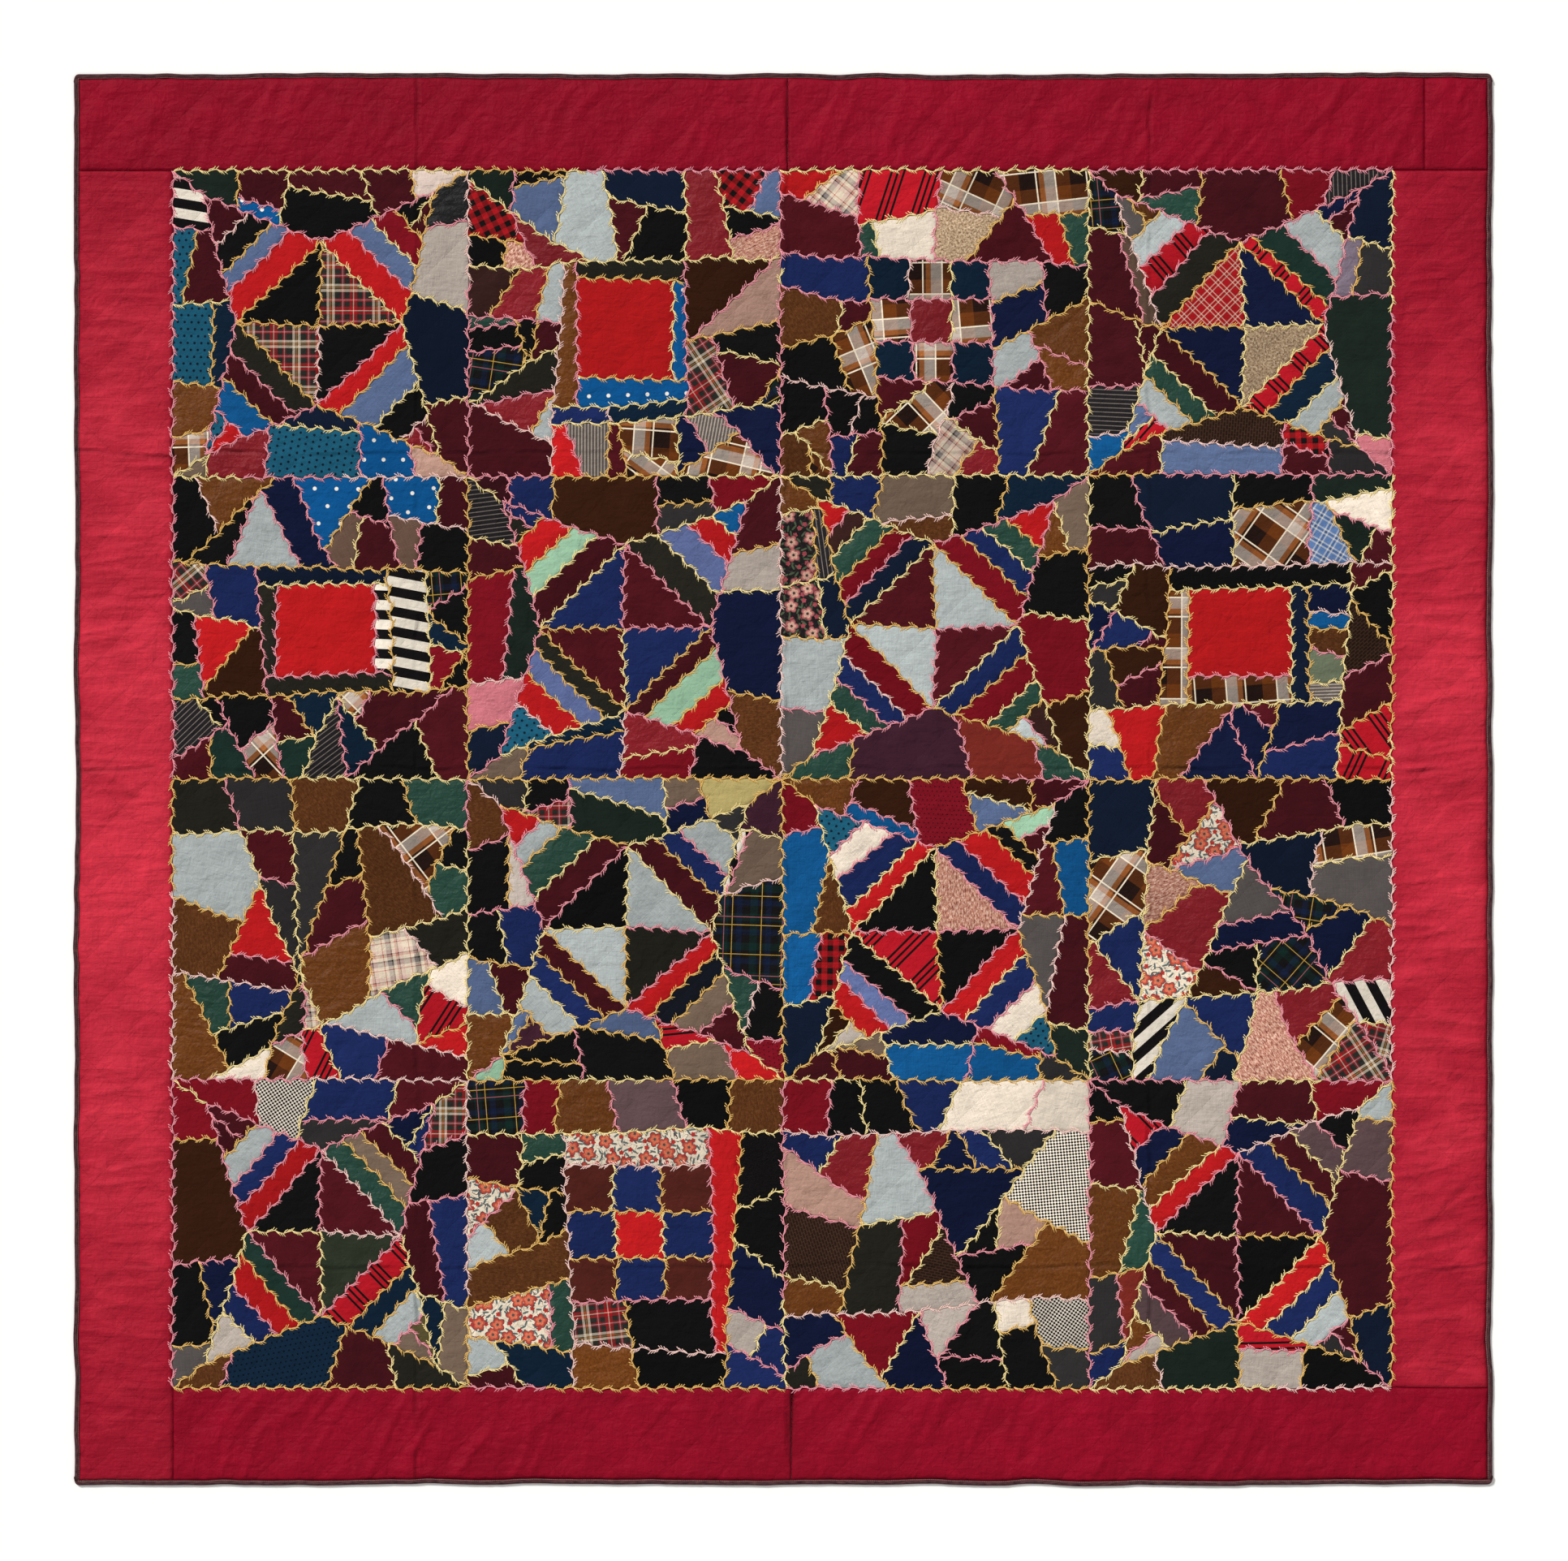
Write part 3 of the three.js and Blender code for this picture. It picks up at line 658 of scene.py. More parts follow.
# The cloths by name: a base colour, and what differs from plain cotton.
def clothTable():
    black, white, cream, red = (19, 17, 17), (216, 206, 190), (206, 190, 168), (158, 22, 28)
    dark, gold, bright = (40, 40, 37), (178, 122, 52), (172, 22, 34)
    silk = {"rough": 0.45, "shine": 0.14, "contrast": 0.08, "crumple": 1.5}
    velvet = {"sheen": 0.04, "contrast": 0.12, "slub": 0.03, "patchiness": 0.7, "crumple": 1.1}
    wool = {"pitch": 1.3, "contrast": 0.35, "slub": 0.3, "relief": 0.0002, "crumple": 0.45}
    fineLine = [(1.6, red), (0.9, (150, 160, 162)), (1.6, red)]
    tartan = [(3.2, cream), (1.0, dark), (1.4, gold), (1.0, dark), (3.2, cream), (8, dark), *fineLine,
              (6.5, dark), (4, red), (1.1, cream), (4, red), (6.5, dark), *fineLine, (8, dark)]
    windows = [(20, (30, 17, 14)), (1.7, cream), (2.6, (54, 30, 18)), (6.4, (160, 96, 50)),
               (13, (184, 170, 158)), (1.7, cream), (17, (98, 50, 18))]
    windowLines = [(way, 62.4, at, 1.6, (222, 208, 184)) for way in "xy" for at in (20.85, 44.55)]
    pastel = [(8, cream), (1.1, red), (4, cream), (5, (126, 116, 112)), (2, black), (4, cream),
              (3, (176, 120, 106)), (1.2, black), (5, (200, 168, 156))]
    skyBands = [(8, (86, 114, 158)), (2, (190, 190, 186)), (3, (50, 78, 124)), (2, (190, 190, 186))]
    darkBands = [(10, black), (7, (18, 28, 52)), (10, black), (9, (16, 38, 34))]
    window = [(9.0, red), (1.3, cream), (3.2, red), (1.3, cream)]
    return {
        "black": {"base": (14, 13, 13)},
        "oliveBlack": {"base": (32, 30, 24)},
        "charcoal": {"base": (42, 40, 40), **wool},
        "darkBrown": {"base": (50, 27, 24), **velvet},
        "chocolate": {"base": (46, 22, 10)},
        "rust": {"base": (112, 38, 30)},
        "redBrown": {"base": (74, 29, 23), **velvet},
        "wineDark": {"base": (50, 13, 20), **velvet},
        "wine": {"base": (72, 15, 23), **velvet},
        "maroon": {"base": (60, 13, 20), **velvet},
        "crimson": {"base": (112, 14, 26)},
        "cherry": {"base": (120, 17, 27), **silk},
        "scarlet": {"base": (174, 24, 27), "slub": 0.14},
        "navy": {"base": (14, 21, 48)},
        "navyBlack": {"base": (17, 19, 28), **wool},
        "indigo": {"base": (14, 24, 42), **wool},
        "royal": {"base": (24, 36, 80), "slub": 0.2},
        "tealNavy": {"base": (12, 29, 46)},
        "midBlue": {"base": (14, 76, 126), "slub": 0.3},
        "dustyBlue": {"base": (84, 100, 134), "slub": 0.25},
        "paleBlue": {"base": (160, 167, 166), "slub": 0.3, "contrast": 0.25},
        "periwinkle": {"base": (86, 98, 140), "slub": 0.25},
        "darkGreen": {"base": (24, 44, 38), **velvet},
        "green": {"base": (29, 61, 50), **silk},
        "bottle": {"base": (22, 32, 26), **velvet},
        "sage": {"base": (96, 104, 84)},
        "olive": {"base": (84, 76, 46)},
        "oliveGreen": {"base": (40, 46, 34), **velvet},
        "oliveYellow": {"base": (170, 154, 98)},
        "mint": {"base": (146, 184, 154)},
        "mauve": {"base": (116, 102, 116), **silk},
        "greyMauve": {"base": (86, 66, 68)},
        "plum": {"base": (52, 24, 36), **velvet},
        "grey": {"base": (82, 76, 74), **wool},
        "lightGrey": {"base": (172, 160, 150), "slub": 0.3},
        "dustyBrown": {"base": (96, 74, 62), **wool},
        "taupe": {"base": (108, 90, 76)},
        "cream": {"base": (220, 206, 188), "slub": 0.3},
        "pinkWhite": {"base": (214, 194, 182)},
        "pinkTan": {"base": (172, 134, 118), **silk},
        "rosePink": {"base": (196, 110, 120), **silk},
        "crepeBlack": {"base": (22, 21, 23), **silk, "extraHeight": ripples(7.0, 50.0, 9.0)},
        "plush": {"base": (18, 16, 16), "extraHeight": curlyPile(4.5, 22.0), "quilted": False},
        "brown": {"pattern": mottled([(66, 35, 15), (80, 45, 21), (94, 57, 31)], 2.4, 2.0), **wool},
        "goldenBrown": {"pattern": mottled([(84, 41, 4), (96, 50, 6), (108, 61, 14)], 2.2, 2.0), **silk},
        "pinkTweed": {"pattern": mottled([(104, 44, 42), (180, 124, 104), (226, 196, 176)], 1.8, 3.0),
                      **wool},
        "beigeTweed": {"pattern": mottled([(92, 70, 50), (160, 134, 106), (206, 184, 154)], 2.6), **wool},
        "redTartan": {"pattern": wovenCheck(tartan, tartan)},
        "redWindow": {"pattern": wovenCheck(window, window)},
        "redBlack": {"pattern": wovenCheck([(7, red), (7, black)], [(7, red), (7, black)])},
        "darkPlaid": {"pattern": wovenCheck(darkBands, darkBands, [
            ("x", 36, 5, 0.9, (176, 140, 60)), ("y", 36, 5, 0.9, (176, 140, 60)),
            ("x", 72, 31, 0.9, (150, 80, 88)), ("y", 72, 31, 0.9, (150, 80, 88))])},
        "pastelPlaid": {"pattern": wovenCheck(pastel, pastel)},
        "skyPlaid": {"pattern": wovenCheck(skyBands, skyBands)},
        "brownPlaid": {"pattern": wovenCheck(windows, windows, windowLines)},
        "bwStripe": {"pattern": stripes([(12, (17, 15, 16)), (12, white)])},
        "redStripe": {"pattern": stripes([(22, bright), *[(2.8, black), (4.4, bright)] * 2, (2.8, black)])},
        "pinstripe": {"pattern": stripes([(4.6, (34, 32, 34)), (0.9, (124, 112, 104))])},
        "greyStripe": {"pattern": stripes([(2.4, (88, 80, 76)), (1.6, (160, 148, 136))])},
        "smallCheck": {"pattern": smallSquares(black, white, 2.6)},
        "basket": {"pattern": brickFigure((56, 38, 28), (34, 20, 14), 7.0, 3.4)},
        "pinDots": {"pattern": dots((118, 16, 30), black, 5.6, 0.8)},
        "blueDots": {"pattern": dots((10, 76, 130), (224, 218, 206), 24.0, 2.4)},
        "tealDots": {"pattern": dots((26, 84, 108), (16, 26, 40), 8.5, 1.6)},
        "indigoDots": {"pattern": dots((13, 32, 50), (5, 11, 20), 6.4, 1.1)},
        "floral": {"pattern": sprigged(
            (30, 26, 27), (150, 66, 74), (200, 160, 140), (70, 84, 62), (58, 52, 48), 24.0)},
        "creamFloral": {"pattern": sprigged(
            (214, 200, 178), (164, 48, 42), (198, 112, 82), (86, 98, 98), (76, 66, 66), 24.0)},
        "backing": {"base": (96, 26, 38)},
    }


cloths = clothTable()
madeCloths = {}


def clothMaterial(name):
    if name not in madeCloths:
        values = dict(cloths[name])
        madeCloths[name] = makeCloth("cloth_" + name, values.pop("base", (128, 128, 128)), **values)
    return madeCloths[name]


print("cloths ready")

# How the blocks are pieced, from rules of the traditional kinds and chance. Block coordinates run from
# -187.5 to 187.5 both ways, y up.
piecing = {
    "half": 187.5,          # half the side of a block
    "starPoint": 101.0,     # from the middle to a point of the star's diamond
    "starTipX": 148.0,      # outer corner of a kite
    "starTipY": 157.0,
    "looseness": 4.5,       # how far the corners of the stars differ from block to block
    "lean": 0.22,           # how far a cross seam leans, in radians
    "smallestPiece": 330.0,  # in square millimetres
    "deepPiece": 58.0,      # a side piece of a star deeper and larger than these may be halved
    "largePiece": 2600.0,
    "cornerJoin": 0.8,      # corners closer than this become one
}
threadShares = {"gold": 0.32, "cream": 0.3, "pink": 0.32, "palePink": 0.06}


def unit(angle):
    return np.array([math.cos(angle), math.sin(angle)])


def quarterTurn(way):
    return np.array([-way[1], way[0]])


def areaOf(outline):
    following = np.roll(outline, -1, axis=0)
    return 0.5 * float(np.sum(outline[:, 0] * following[:, 1] - following[:, 0] * outline[:, 1]))


# Cuts a convex outline by a line: the part on the line's left, the part on its right, and the cut itself.
# A cut that would leave a scrap too small gives nothing.
def cutOutline(outline, point, way):
    side = way[0] * (outline[:, 1] - point[1]) - way[1] * (outline[:, 0] - point[0])
    left, right, ends = [], [], []
    for here, after, s, t in zip(outline, np.roll(outline, -1, axis=0), side, np.roll(side, -1)):
        if s > -0.05:
            left.append(here)
        if s < 0.05:
            right.append(here)
        if abs(s) <= 0.05:
            ends.append(here)
        if s * t < 0 and min(abs(s), abs(t)) > 0.05:
            meeting = here + (after - here) * s / (s - t)
            for chosen in (left, right, ends):
                chosen.append(meeting)
    if len(ends) != 2 or len(left) < 3 or len(right) < 3:
        return None
    left, right = np.array(left), np.array(right)
    if min(areaOf(left), areaOf(right)) < piecing["smallestPiece"]:
        return None
    return left, right, np.array(ends)


def addSeam(layout, ends, chance):
    names = list(threadShares)
    thread = names[chance.choice(len(names), p=list(threadShares.values()))]
    layout["seams"].append((np.asarray(ends[0], float), np.asarray(ends[1], float), thread))


def addPatch(layout, outline, cloth, grain):
    layout["patches"].append((outline, cloth, grain))


# Cuts an outline into pieces side by side along a direction, one for each cloth, with leaning seams. The
# middle piece may be wider than the others.
def splitAlong(layout, outline, way, names, chance, lean=None, uneven=0.35, middleShare=1.0):
    lean = piecing["lean"] if lean is None else lean
    reach = outline @ way
    widths = 1 + uneven * (2 * chance.random(len(names)) - 1)
    widths[len(names) // 2] *= middleShare
    places = reach.min() + (reach.max() - reach.min()) * np.cumsum(widths)[:-1] / widths.sum()
    middle, rest = outline.mean(axis=0), outline
    angle = math.atan2(way[1], way[0])
    for place, name in zip(places, names):
        point = middle + (place - middle @ way) * way
        turn = angle + math.pi / 2 + lean * (2 * chance.random() - 1)
        cut = cutOutline(rest, point, unit(turn))
        if cut is not None:
            first, rest, seam = cut
            addSeam(layout, seam, chance)
            addPatch(layout, first, name, angle + 0.1 * chance.standard_normal())
    addPatch(layout, rest, names[-1], angle + 0.1 * chance.standard_normal())


# A star: four triangles make a diamond, on each of its sides a kite in strips, and between the kites and the
# block's edge pieces that lean against one another.
def starBlock(layout, design, chance):
    half, point, loose = piecing["half"], piecing["starPoint"], piecing["looseness"]
    middle = chance.normal(0, 0.35 * loose, 2)
    turns = (math.pi, math.pi / 2, 0.0, -math.pi / 2)
    points = [middle + unit(turn) * (point + chance.normal(0, 0.3 * loose)) for turn in turns]
    tips = []
    for signX, signY in ((-1, 1), (1, 1), (1, -1), (-1, -1)):
        tip = np.array([signX * piecing["starTipX"], signY * piecing["starTipY"]])
        tips.append(tip + chance.normal(0, 0.7 * loose, 2))
    ends = [np.array(p) for p in ((-half, half), (half, half), (half, -half), (-half, -half))]
    for quarter in range(4):
        start, end, tip = points[quarter], points[(quarter + 1) % 4], tips[quarter]
        grain = math.pi / 4 * chance.integers(0, 4)
        addPatch(layout, np.array([middle, end, start]), design["diamond"][quarter], grain)
        for seam in ((middle, end), (start, end), (start, tip), (tip, end), (tip, ends[quarter])):
            addSeam(layout, seam, chance)
        along = (end - start) / np.linalg.norm(end - start)
        outward = quarterTurn(along)
        names = design["kites"][quarter]
        width = float((tip - start) @ outward) / (len(names) + 0.85)
        rest, depth = np.array([start, end, tip]), 0.0
        for name in names[:-1]:
            depth += width * (1 + 0.16 * chance.standard_normal())
            turn = math.atan2(along[1], along[0]) + 0.03 * chance.standard_normal()
            cut = cutOutline(rest, start + 0.5 * (end - start) + outward * depth, unit(turn))
            if cut is not None:
                rest, strip, seam = cut
                addSeam(layout, seam, chance)
                addPatch(layout, strip, name, turn)
        if chance.random() < 0.6:
            splitAlong(layout, rest, along, [names[-1], design["extra"][quarter]], chance, 0.3, 0.3)
        else:
            addPatch(layout, rest, names[-1], math.atan2(along[1], along[0]))
    for side, turn in enumerate((0.0, -math.pi / 2, math.pi, math.pi / 2)):
        before, after = side, (side + 1) % 4
        outline = np.array([ends[before], tips[before], points[after], tips[after], ends[after]])
        names = design["sides"][side]
        inner = {"patches": [], "seams": []}
        splitAlong(inner, outline, unit(turn), names, chance, 0.36, 0.4, 1.6)
        layout["seams"] += inner["seams"]
        for outline, name, grain in inner["patches"]:
            outward = unit(turn + math.pi / 2)
            reach = outline @ outward
            deep = float(reach.max() - reach.min()) > piecing["deepPiece"]
            if deep and areaOf(outline) > piecing["largePiece"] and chance.random() < 0.6:
                other = design["extra"][chance.integers(0, 4)]
                splitAlong(layout, outline, outward, [name, other], chance, 0.4, 0.5)
            else:
                addPatch(layout, outline, name, grain)


# Crazy pieces: every piece is halved across its longer direction, with the cut leaning and off the middle
# as chance says, until it is about as small as asked. The cloths are dealt out in a shuffled round.
def crazyPieces(layout, outlines, names, size, chance):
    waiting, dealt = list(outlines), []
    while waiting:
        outline = waiting.pop()
        limit = size * (0.4 + 1.3 * chance.random() ** 1.4)
        cut = None
        if areaOf(outline) > limit:
            spread = np.cov((outline - outline.mean(axis=0)).T)
            longest = np.linalg.eigh(spread)[1][:, 1]
            turn = math.atan2(longest[1], longest[0]) + math.pi / 2 + 0.45 * chance.standard_normal()
            point = outline.mean(axis=0) + longest * 11 * chance.standard_normal()
            cut = cutOutline(outline, point, unit(turn))
        if cut is None:
            if not dealt:
                dealt = [names[index] for index in chance.permutation(len(names))]
            addPatch(layout, outline, dealt.pop(), chance.random() * math.pi)
        else:
            addSeam(layout, cut[2], chance)
            waiting += [cut[0], cut[1]]


sideTurns = {"top": 0.0, "right": -math.pi / 2, "bottom": math.pi, "left": math.pi / 2}


# A framed block: strips are cut off the outline side after side, the outer ones filled with crazy pieces of
# the size that is given and the inner ones in a row, and what is left is the middle, which may be a patch or
# rows of squares.
def framedBlock(layout, design, chance):
    half = piecing["half"]
    rest = np.array([[-half, -half], [half, -half], [half, half], [-half, half]])
    for side, width, lean, names, *size in design["rows"]:
        turn = sideTurns[side]
        outward = unit(turn + math.pi / 2)
        middle = rest.mean(axis=0)
        point = middle + ((rest @ outward).max() - width - middle @ outward) * outward
        cut = cutOutline(rest, point, unit(turn + lean + 0.015 * chance.standard_normal()))
        if cut is None:
            continue
        strip, rest, seam = cut
        addSeam(layout, seam, chance)
        if size:
            crazyPieces(layout, [strip], names, size[0], chance)
        else:
            splitAlong(layout, strip, unit(turn), names, chance)
    middle = design["middle"]
    if isinstance(middle, str):
        addPatch(layout, rest, middle, 0.0)
        return
    for index, names in enumerate(middle):
        if index < len(middle) - 1:
            upward = rest @ unit(math.pi / 2)
            top = upward.max()
            depth = (top - upward.min()) / (len(middle) - index)
            row, rest, seam = cutOutline(rest, np.array([rest[:, 0].mean(), top - depth]), unit(0.0))
            addSeam(layout, seam, chance)
        else:
            row = rest
        splitAlong(layout, row, unit(0.0), names, chance, 0.015, 0.02)


# A free block: a few given cuts right across, each through most of what it meets, then crazy pieces.
def crazyBlock(layout, design, chance):
    half = piecing["half"]
    outlines = [np.array([[-half, -half], [half, -half], [half, half], [-half, half]])]
    for x, y, turn in design["cuts"]:
        kept = []
        for outline in outlines:
            cut = cutOutline(outline, np.array([x, y]), unit(turn))
            if cut is None or chance.random() < 0.15:
                kept.append(outline)
            else:
                addSeam(layout, cut[2], chance)
                kept += [cut[0], cut[1]]
        outlines = kept
    crazyPieces(layout, outlines, design["names"], design["size"], chance)


# Lists of names: words of one list stand side by side, and a stroke parts one list from the next.
def listsOf(words):
    return [part.split() for part in words.split("/")]


# Sixteen blocks. Stars name their cloths from the diamond outward, quarter by quarter from upper left,
# clockwise, and their sides from the top one, clockwise.
def star(diamond, kites, sides, extra):
    return {"kind": "star", "diamond": diamond.split(), "kites": listsOf(kites), "sides": listsOf(sides),
            "extra": extra.split()}


# A framed block's rows give side, width, lean and names, and the size of its pieces if they are crazy ones.
def framed(rows, middle):
    rows = [(side, width, lean, names.split(), *size) for side, width, lean, names, *size in rows]
    return {"kind": "framed", "rows": rows, "middle": listsOf(middle) if "/" in middle else middle}


def crazy(size, cuts, names):
    return {"kind": "crazy", "size": size, "cuts": cuts, "names": names.split()}


designs = {
    (0, 0): star(
        "black redTartan black redTartan",
        "scarlet dustyBlue black maroon / scarlet dustyBlue crimson black / scarlet dustyBlue black "
        "maroon / oliveBlack maroon midBlue scarlet",
        "bottle blueDots black maroon pinkWhite / crepeBlack lightGrey indigo maroon / pinkTan blueDots "
        "indigo cherry taupe / brownPlaid goldenBrown tealNavy maroon bwStripe",
        "lightGrey maroon cherry tealDots"),
    (0, 1): framed([
        ("top", 112, 0.03, "paleBlue redBlack maroon bottle black indigo pinkTweed black "
                           "dustyBlue cherry", 4800.0),
        ("left", 108, -0.06, "maroon darkPlaid black darkBrown green black cherry oliveBlack "
                             "paleBlue", 4000.0),
        ("bottom", 74, 0.1, "navy scarlet brownPlaid greyStripe wine brownPlaid", 4000.0),
        ("right", 112, 0.05, "redTartan chocolate black pinkTan maroon black darkPlaid", 5200.0),
        ("bottom", 30, 0.1, "tealNavy royal"),
        ("left", 27, 0.02, "goldenBrown"),
        ("bottom", 36, 0.02, "blueDots"),
        ("top", 24, -0.02, "oliveBlack"),
        ("right", 18, 0.02, "blueDots")],
        "scarlet"),
    (0, 2): framed([
        ("top", 110, -0.05, "redStripe pastelPlaid green scarlet cream beigeTweed brownPlaid "
                            "wine", 5600.0),
        ("left", 116, 0.05, "brown maroon black royal black brownPlaid goldenBrown", 4900.0),
        ("bottom", 112, -0.05, "royal black brownPlaid maroon pastelPlaid black cherry wine", 5600.0),
        ("right", 118, 0.05, "paleBlue goldenBrown black navy lightGrey maroon", 6700.0)],
        "tealNavy brownPlaid tealNavy / brownPlaid cherry brownPlaid / tealNavy brownPlaid tealNavy"),
    (0, 3): star(
        "redWindow navy beigeTweed navy",
        "oliveBlack redStripe paleBlue grey / redStripe darkGreen paleBlue navy / redStripe tealNavy "
        "paleBlue maroon / maroon green paleBlue redStripe",
        "chocolate green maroon crimson pinstripe / indigo mauve bottle rosePink / charcoal redBlack "
        "basket wine / midBlue pinstripe maroon dustyBrown darkPlaid",
        "brown maroon charcoal dustyBlue"),
    (1, 0): framed([
        ("top", 112, -0.05, "black goldenBrown dustyBrown black blueDots maroon navy black "
                            "paleBlue", 4700.0),
        ("bottom", 106, 0.06, "black tealNavy darkGreen brownPlaid pinstripe maroon black wine", 4700.0),
        ("left", 112, 0.05, "grey green redTartan taupe scarlet black royal chocolate", 4500.0),
        ("right", 48, 0.05, "darkPlaid black tealNavy black crimson", 3600.0),
        ("right", 54, 0.02, "bwStripe"),
        ("top", 24, 0.02, "indigo"),
        ("bottom", 26, 0.02, "oliveBlack"),
        ("left", 24, -0.02, "oliveBlack"),
        ("right", 22, 0.0, "bwStripe")],
        "scarlet"),
    (1, 1): star(
        "royal wine royal wine",
        "maroon mint scarlet oliveBlack / oliveBlack periwinkle scarlet midBlue / maroon mint scarlet "
        "black / oliveBlack periwinkle scarlet tealDots",
        "wineDark royal chocolate charcoal crimson / maroon lightGrey navy brown / black cherry "
        "tealNavy taupe / indigo rosePink bottle maroon pinstripe",
        "royal crimson pinkTan black"),
    (1, 2): star(
        "wine paleBlue wine paleBlue",
        "indigo crimson green darkBrown paleBlue / crimson royal green scarlet / royal crimson green "
        "darkBrown / crimson royal green scarlet",
        "oliveBlack royal brown black tealNavy / goldenBrown black crimson chocolate / green rust plum "
        "green / grey paleBlue indigo pinstripe goldenBrown",
        "scarlet taupe paleBlue floral"),
    (1, 3): framed([
        ("top", 112, 0.04, "brownPlaid black cream maroon bottle indigo skyPlaid navy black", 4700.0),
        ("right", 60, -0.06, "maroon basket black redStripe wine", 4700.0),
        ("bottom", 92, 0.05, "royal goldenBrown navy cream scarlet navy wine", 5200.0),
        ("left", 92, -0.05, "navy black maroon chocolate charcoal royal", 4500.0),
        ("top", 28, 0.03, "black"),
        ("right", 50, 0.0, "navy midBlue brown sage greyStripe"),
        ("right", 22, 0.03, "indigo"),
        ("left", 36, 0.0, "brownPlaid"),
        ("bottom", 36, 0.0, "brownPlaid")],
        "scarlet"),
    (2, 0): crazy(
        6200.0,
        [(-187, 118, 0.02), (10, -150, 1.95), (-20, -150, 1.62), (-60, -150, 1.25), (40, -100, 0.45)],
        "maroon green black goldenBrown paleBlue scarlet charcoal royal wine redStripe brownPlaid "
        "oliveBlack green cream brown pastelPlaid black"),
    (2, 1): star(
        "black paleBlue oliveBlack paleBlue",
        "maroon green paleBlue scarlet / maroon royal paleBlue charcoal / scarlet navyBlack taupe "
        "maroon / maroon royal paleBlue plum",
        "charcoal redTartan bottle navy oliveYellow / plum bwStripe darkPlaid green pinDots / scarlet "
        "redStripe dustyBlue black mint / goldenBrown maroon royal lightGrey brown",
        "navy taupe black dustyBlue"),
    (2, 2): star(
        "black pinkTweed black redStripe",
        "scarlet royal cream tealDots / royal scarlet black mint / scarlet royal cream tealDots / black "
        "periwinkle scarlet lightGrey",
        "goldenBrown midBlue pinDots dustyBlue maroon / black wine grey bottle / charcoal crimson navy "
        "taupe maroon / indigo redBlack brown crimson",
        "midBlue maroon grey chocolate"),
    (2, 3): crazy(
        6200.0, [(-120, 0, 1.5), (60, 20, -1.0), (0, -80, 0.1), (0, 110, 0.12), (-20, 20, 1.15)],
        "black cherry navy pinkTweed maroon bwStripe grey royal cherry chocolate creamFloral indigo "
        "redTartan dustyBlue darkPlaid brownPlaid"),
    (3, 0): star(
        "black wine oliveGreen wine",
        "scarlet royal paleBlue maroon / green taupe maroon navy / redStripe tealNavy paleBlue olive / "
        "darkGreen scarlet royal lightGrey",
        "crimson smallCheck charcoal wine / redTartan black maroon tealNavy / oliveBlack maroon "
        "indigoDots brown / grey navy chocolate crimson",
        "maroon royal taupe black"),
    (3, 1): framed([
        ("top", 64, 0.02, "darkPlaid crimson goldenBrown greyMauve black brown"),
        ("left", 120, 0.05, "green creamFloral brown maroon tealNavy black paleBlue", 5800.0),
        ("right", 62, -0.06, "plush black navy lightGrey royal", 5800.0),
        ("bottom", 48, -0.04, "lightGrey black goldenBrown royal", 4700.0),
        ("right", 34, 0.05, "scarlet"),
        ("bottom", 62, 0.03, "black redTartan"),
        ("top", 42, -0.01, "creamFloral")],
        "redBrown royal redBrown / royal scarlet royal / redBrown royal redBrown"),
    (3, 2): crazy(
        7600.0, [(0, 125, 0.0), (-60, 0, 1.75), (70, 0, 1.25), (0, -90, 0.06), (20, 30, 0.5)],
        "black navy goldenBrown lightGrey black pinkTan cherry charcoal oliveBlack royal smallCheck "
        "paleBlue black crimson navy cream basket"),
    (3, 3): star(
        "black maroon black maroon",
        "scarlet goldenBrown navy redStripe / royal maroon greyMauve black / scarlet royal paleBlue "
        "maroon / royal maroon greyMauve lightGrey",
        "black lightGrey navy crimson / paleBlue greyMauve maroon indigo / black redStripe bottle brown "
        "/ royal rust green wine black",
        "lightGrey maroon charcoal goldenBrown"),
}
builders = {"star": starBlock, "framed": framedBlock, "crazy": crazyBlock}


# Keeps the wander whole on the patchwork and lets it die out evenly over the border.
def wandered(x, y):
    half = quilt["fieldHalf"]
    beyond = np.maximum(np.maximum(np.abs(x) - half, np.abs(y) - half), 0)
    share = np.clip(1 - beyond / quilt["wanderFade"], 0, 1)
    movedX, movedY = wander(x, y)
    return x + share * (movedX - x), y + share * (movedY - y)


seamBow = {"star": 3.0, "framed": 6.0, "crazy": 8.0}


# Seams of the free parts bow gently. The points move with a smooth noise of about 90 mm, which dies out at
# the block's edge and, in a framed block, in its middle.
def bowed(row, column, points):
    kind = designs[row, column]["kind"]
    out = np.abs(points).max(axis=1) / piecing["half"]
    share = np.clip((1 - out) / 0.35, 0, 1)
    if kind == "framed":
        share = share * np.clip((out - 0.38) / 0.2, 0, 1)
    share = 2 * seamBow[kind] * share * share * (3 - 2 * share)
    x, y = points[:, 0] / 88 + 7 * column + 40, points[:, 1] / 88 + 9 * row + 40
    moved = np.stack([softNoise(x, y, 301) - 0.5, softNoise(x, y, 302) - 0.5], axis=1)
    return points + share[:, None] * moved


# From block coordinates to the quilt's: the four corners from the frame blended in both directions, a hair
# inside them, then the wander of the seams.
def blockPlaces(row, column, points, inset=0.0):
    side = 2 * piecing["half"]
    points = bowed(row, column, points)
    s = np.clip(points[:, 0] / side + 0.5, inset / side, 1 - inset / side)[:, None]
    t = np.clip(points[:, 1] / side + 0.5, inset / side, 1 - inset / side)[:, None]
    top = (1 - s) * corners[row, column] + s * corners[row, column + 1]
    bottom = (1 - s) * corners[row + 1, column] + s * corners[row + 1, column + 1]
    place = (1 - t) * bottom + t * top
    return np.stack(wandered(place[:, 0], place[:, 1]), axis=1)


